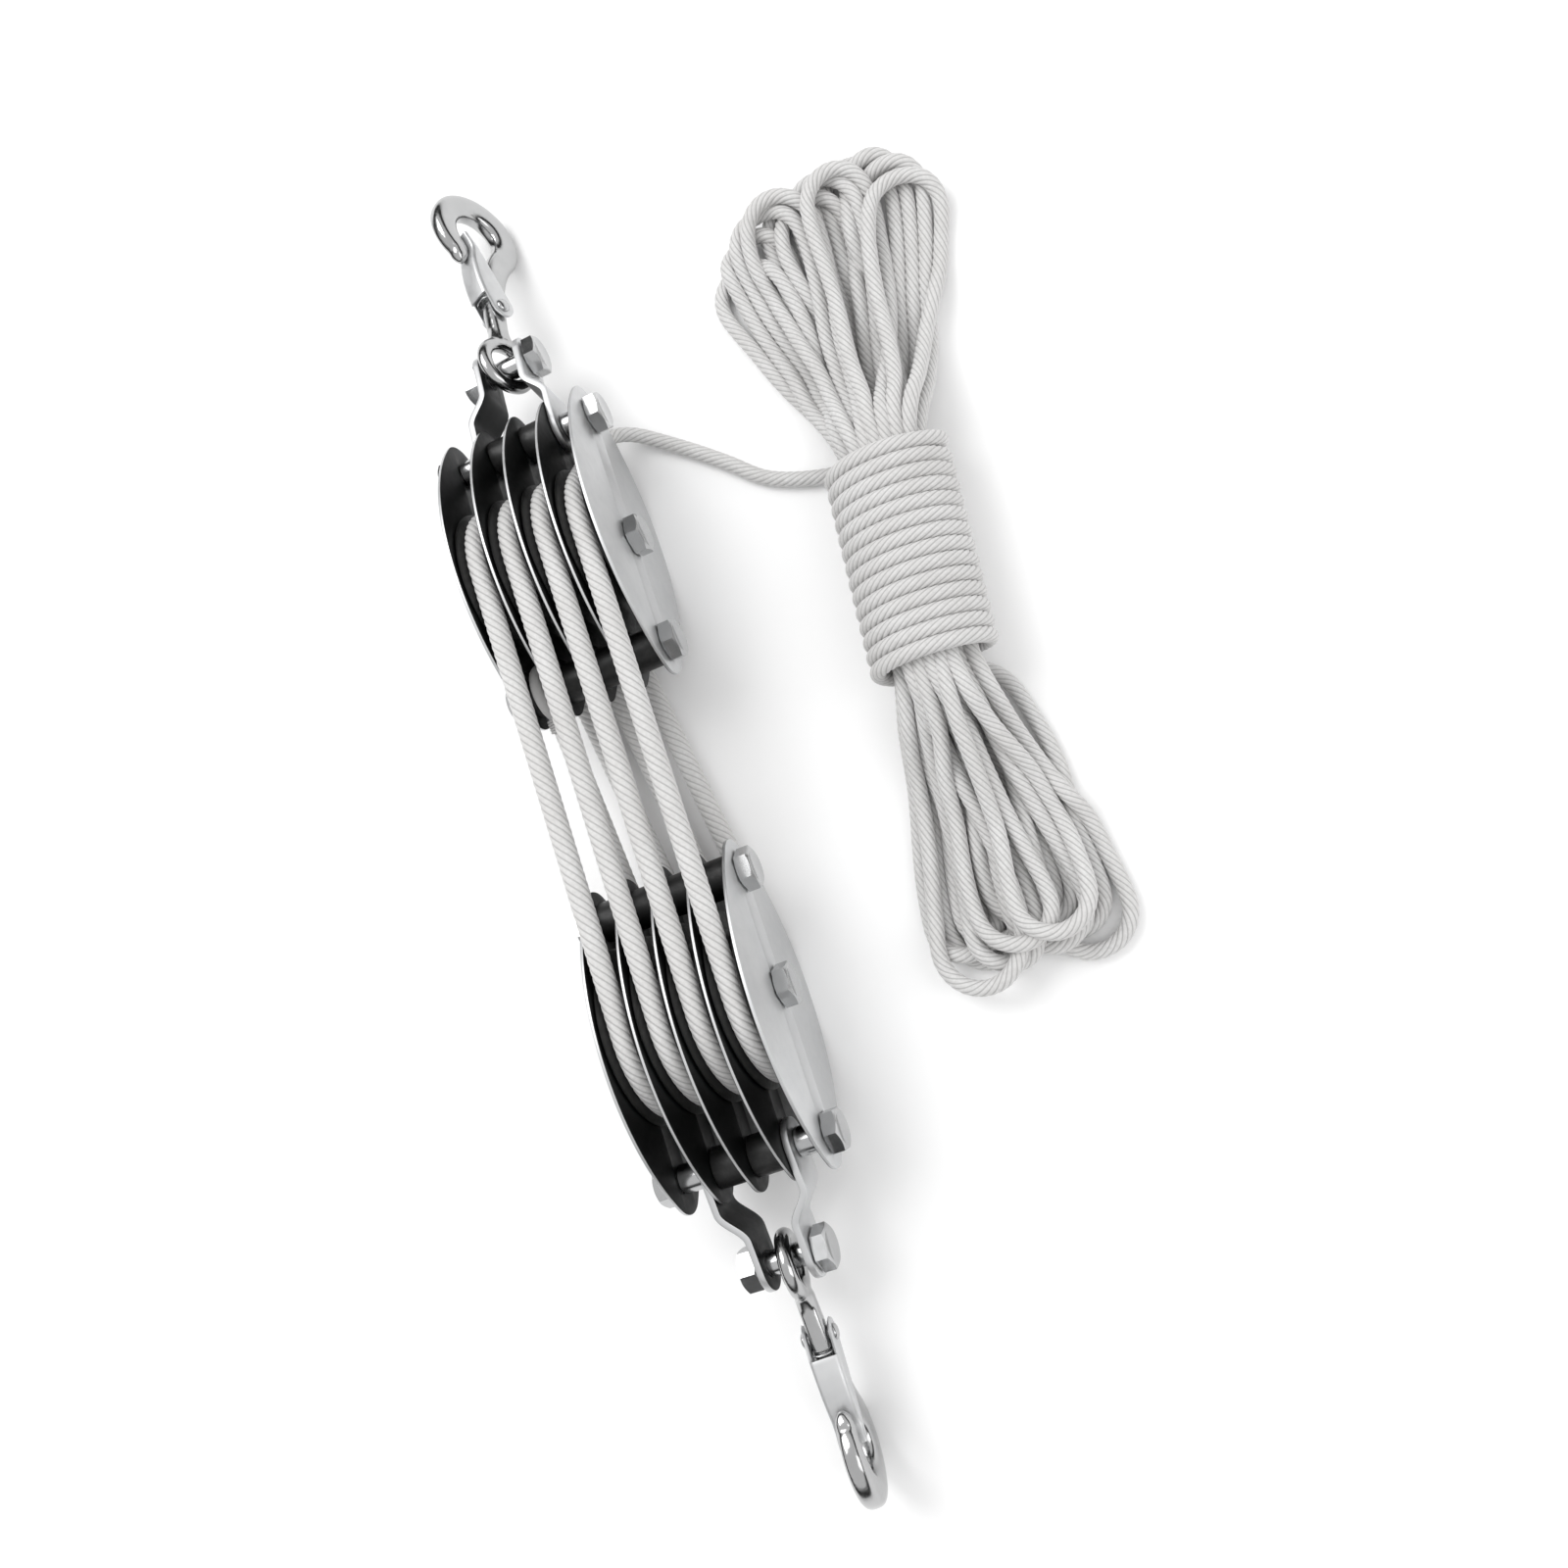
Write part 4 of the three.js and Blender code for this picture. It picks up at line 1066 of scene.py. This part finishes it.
def add_becket():
    """The rope's dead end: an eye round the first spacer, with its seizing."""
    centre = np.array([channel_x(0), AXLE["upper"][1] - PLATE.rope_end, AXLE_HEIGHT])
    low, high = box("upper_rope_end_spacer_1")
    radius = (high[2] - low[2]) / 2 + BECKET.thick + BECKET.gap
    route = reeved_route()
    ahead, across = unit(route[1] - route[0]), np.array([1.0, 0, 0])
    axes = [ahead, np.cross(across, ahead), across]
    eye = ring_tube(radius, BECKET.thick, BECKET.wide, 64, 20)
    piece = add_mesh("rope_becket", eye, centre, axes)
    finish_piece(piece, "upper_block", "rope", (), 80)
    turns = np.linspace(0, SEIZING.turns, SEIZING.turns * SEIZING.steps + 1)
    circle = (FALL_RADIUS + SEIZING.gap) * polar(TURN * turns)
    reach = BECKET_RADIUS + SEIZING.start + SEIZING.pitch * turns
    line = place_all(np.column_stack([reach, circle * [-1, 1]]), centre, axes)
    finish_piece(wire("rope_seizing", line, SEIZING.wire, 8), "upper_block", "rope", (), 80)


# Materials
class Shader:
    """A Principled material with short ways to add and join its nodes."""

    def __init__(self, name):
        self.material = bpy.data.materials.new(name)
        self.material.use_nodes = True
        self.tree = self.material.node_tree

    def feed(self, node, inputs):
        """Numbers and colours are set on the node's inputs, and other nodes' outputs linked to them."""
        for name, value in inputs.items():
            if isinstance(value, bpy.types.NodeSocket):
                self.tree.links.new(value, node.inputs[name])
            else:
                node.inputs[name].default_value = value

    def finish(self, surface):
        self.feed(self.tree.nodes["Principled BSDF"], surface)
        return self.material

    def node(self, kind, inputs, output, **settings):
        node = configured(self.tree.nodes.new(f"ShaderNode{kind}"), **settings)
        self.feed(node, inputs)
        return node.outputs[output]

    def place(self, scale=(1, 1, 1)):
        place = self.node("TexCoord", {}, "Object")
        return self.node("Mapping", {"Vector": place, "Scale": scale}, "Vector")

    def noise(self, size, place, detail=4.0, roughness=0.6):
        """Noise whose features are about size millimetres."""
        look = {"Scale": 1 / (size * MM), "Detail": detail, "Roughness": roughness}
        return self.node("TexNoise", {"Vector": place, **look}, "Fac")

    def ramp(self, value, low, high, start, end):
        """value from start to end becomes low to high."""
        ends = {"From Min": start, "From Max": end, "To Min": low, "To Max": high}
        return self.node("MapRange", {"Value": value, **ends}, "Result")

    def mix(self, share, first, second):
        return self.node("Mix", {"Factor": share, 6: first, 7: second}, 2, data_type="RGBA")

    def math(self, operation, first, second=0.0):
        return self.node("Math", {0: first, 1: second}, 0, operation=operation)

    def bump(self, height, depth, strength):
        """depth is in millimetres."""
        inputs = {"Height": height, "Distance": depth * MM, "Strength": strength}
        return self.node("Bump", inputs, "Normal")


def grey(value, warmth=0.0):
    return (value * (1 + warmth), value, value * (1 - warmth), 1)


def plated_steel(shader, bright, dull, rough, grain):
    """Plated metal: faintly clouded shine, fine handling marks, and painted shade: the marked inner faces
    are near-black.
    """
    place = shader.place()
    crystals = shader.node("TexVoronoi", {"Vector": place, "Scale": 1 / (grain * MM)}, "Color")
    tone = shader.math("ADD", shader.math("MULTIPLY", crystals, 0.08), shader.noise(18, place, 3))
    clean = shader.mix(shader.ramp(tone, 0, 1, 0.35, 0.85), grey(dull, -0.01), grey(bright, -0.004))
    # Painted shade: faces marked as facing a sheave or a neighbour get a near-black base colour for the
    # shade and dark reflections between the parts.
    painted_shade_mask = shader.node("Attribute", {}, "Fac", attribute_name="painted_shade_mask")
    smudges = shader.noise(5, place, 6, 0.7)
    brushed = shader.noise(0.5, shader.place((1, 0.08, 1)), 3)
    scratches = shader.noise(1.5, shader.place((0.6, 1, 0.1)), 8, 0.8)
    return {
        "Metallic": 1.0,
        "Base Color": shader.mix(painted_shade_mask, clean, grey(0.05, -0.01)),
        "Roughness": shader.ramp(smudges, rough * 0.9, rough * 1.2, 0.35, 0.7),
        "Normal": shader.bump(shader.math("ADD", brushed, scratches), 0.003, 0.5),
    }


def polished_steel(shader):
    """Bright hook plating over a slightly uneven forging."""
    place = shader.place()
    uneven = shader.math("ADD", shader.noise(4, place, 2), shader.noise(0.6, place, 3))
    return {
        "Metallic": 1.0,
        "Base Color": shader.mix(shader.noise(9, place, 4), grey(0.42, -0.006), grey(0.52, -0.002)),
        "Roughness": shader.ramp(shader.noise(3, place, 6, 0.7), 0.10, 0.24, 0.35, 0.7),
        "Normal": shader.bump(uneven, 0.03, 0.4),
    }


def moulded_nylon(shader):
    """Black moulded plastic with a faint grain and rope dust."""
    place = shader.place()
    dust = shader.ramp(shader.noise(6, place, 6, 0.7), 0, 1, 0.5, 0.8)
    return {
        "Base Color": shader.mix(dust, grey(0.008), grey(0.03, 0.03)),
        "Roughness": shader.ramp(shader.noise(2, place), 0.34, 0.52, 0.3, 0.7),
        "Normal": shader.bump(shader.noise(0.4, place, 3), 0.03, 0.4),
    }


def laid_rope(shader):
    """White synthetic strands with painted shade in their grooves, each spun from fine fibres."""
    lay = shader.node("UVMap", {}, "UV", uv_map="lay")
    side = shader.node("SeparateXYZ", {"Vector": lay}, "Y")
    strand = shader.math("FRACT", shader.math("MULTIPLY", side, float(STRANDS)))
    from_middle = shader.math("ABSOLUTE", shader.math("SUBTRACT", strand, 0.5))
    # Painted shade: the colour darkens towards the grooves between the strands.
    painted_groove_shade = shader.math("MULTIPLY", shader.ramp(from_middle, 0, 1, 0.30, 0.5), 0.75)
    place = shader.place()
    soil = shader.ramp(shader.noise(22, place, 4), 0, 1, 0.35, 0.75)
    specks = shader.ramp(shader.noise(1.6, place, 4), 0, 0.5, 0.4, 0.75)
    clean = shader.mix(soil, grey(0.67, 0.006), grey(0.59, 0.015))
    speckled = shader.mix(specks, clean, grey(0.47, 0.015))
    fibres = shader.node("Mapping", {"Vector": lay, "Scale": (100, 90, 1)}, "Vector")
    spun = shader.node("TexNoise", {"Vector": fibres, "Scale": 1.0, "Detail": 3.0}, "Fac")
    return {
        "Base Color": shader.mix(painted_groove_shade, speckled, grey(0.30, 0.012)),
        "Roughness": 0.75,
        "Sheen Weight": 0.25,
        "Sheen Roughness": 0.4,
        "Normal": shader.bump(shader.math("ADD", spun, shader.noise(0.35, place, 3)), 0.12, 0.6),
    }


# Each slot's maker with its values, which for plated steel are bright, dull, rough and grain.
SLOTS = {
    "zinc_plate": (plated_steel, 0.70, 0.65, 0.46, 3.0),
    "bolt_steel": (plated_steel, 0.55, 0.47, 0.18, 1.6),
    "hook_steel": (polished_steel,),
    "black_nylon": (moulded_nylon,),
    "rope": (laid_rope,),
}


@cache
def material(slot):
    """The material of that slot, made once."""
    shader = Shader(slot)
    maker, *values = SLOTS[slot]
    return shader.finish(maker(shader, *values))


# Stage: a pale room with dark rings low around it, which give the metal edges to reflect.
FLOOR_HALF = 9000
SKY_STRENGTH = 0.85
RING_RADIUS = 3000
RING_SIDES = 48
RINGS = [(300, 1250, 0.03), (1250, 1700, 0.3)]


def add_scenery(name, mesh, tone, rough):
    """A plain piece of the stage."""
    piece = add_mesh(name, mesh)
    look = {"Base Color": grey(tone), "Roughness": rough}
    piece.data.materials.append(Shader(name).finish(look))
    return piece


def add_stage():
    corners = [(x * FLOOR_HALF, y * FLOOR_HALF, 0) for x, y in ((-1, -1), (1, -1), (1, 1), (-1, 1))]
    add_scenery("floor", (corners, [(0, 1, 2, 3)]), 0.95, 0.9)
    world = bpy.data.worlds.new("studio")
    bpy.context.scene.world = world
    world.use_nodes = True
    background = world.node_tree.nodes["Background"]
    background.inputs["Color"].default_value = grey(1.0)
    background.inputs["Strength"].default_value = SKY_STRENGTH


def add_light(name, place, size, power):
    data = bpy.data.lights.new(name, "AREA")
    configured(data, shape="RECTANGLE", size=size[0], size_y=size[1], energy=power)
    light = new_object(name, data)
    light.location = place
    aim = Vector((0.05, 0, 0)) - Vector(place)
    light.rotation_euler = aim.to_track_quat("-Z", "Y").to_euler()
    light.visible_camera = False


def add_ring(name, low, high, tone):
    """A dark band around the room that only shows in reflections."""
    circle = RING_RADIUS * polar(around(RING_SIDES))
    points = [np.column_stack([circle, np.full(RING_SIDES, height)]) for height in (low, high)]
    ring = add_scenery(name, (np.concatenate(points), strips(2, RING_SIDES)), tone, 1.0)
    ring.visible_camera = ring.visible_shadow = ring.visible_diffuse = False


def add_lights():
    add_light("key", (-0.6, 0.9, 1.5), (1.1, 1.1), 16)
    add_light("fill", (1.3, -0.5, 1.1), (0.8, 1.4), 6)
    for number, (low, high, tone) in enumerate(RINGS):
        add_ring(f"dark_ring_{number}", low, high, tone)


add_camera()
add_rope()
for block, direction in SIDES.items():
    add_plates(block, direction)
    add_sheaves(block)
    add_spacers(block)
    for spot in ("axle", "hook_end", "rope_end"):
        add_bolt(block, spot, f"{block}_block")
    add_straps(block)
    add_hook(block)
    add_latch(block)
add_becket()
add_stage()
add_lights()
bpy.context.scene.view_settings.view_transform = "Standard"
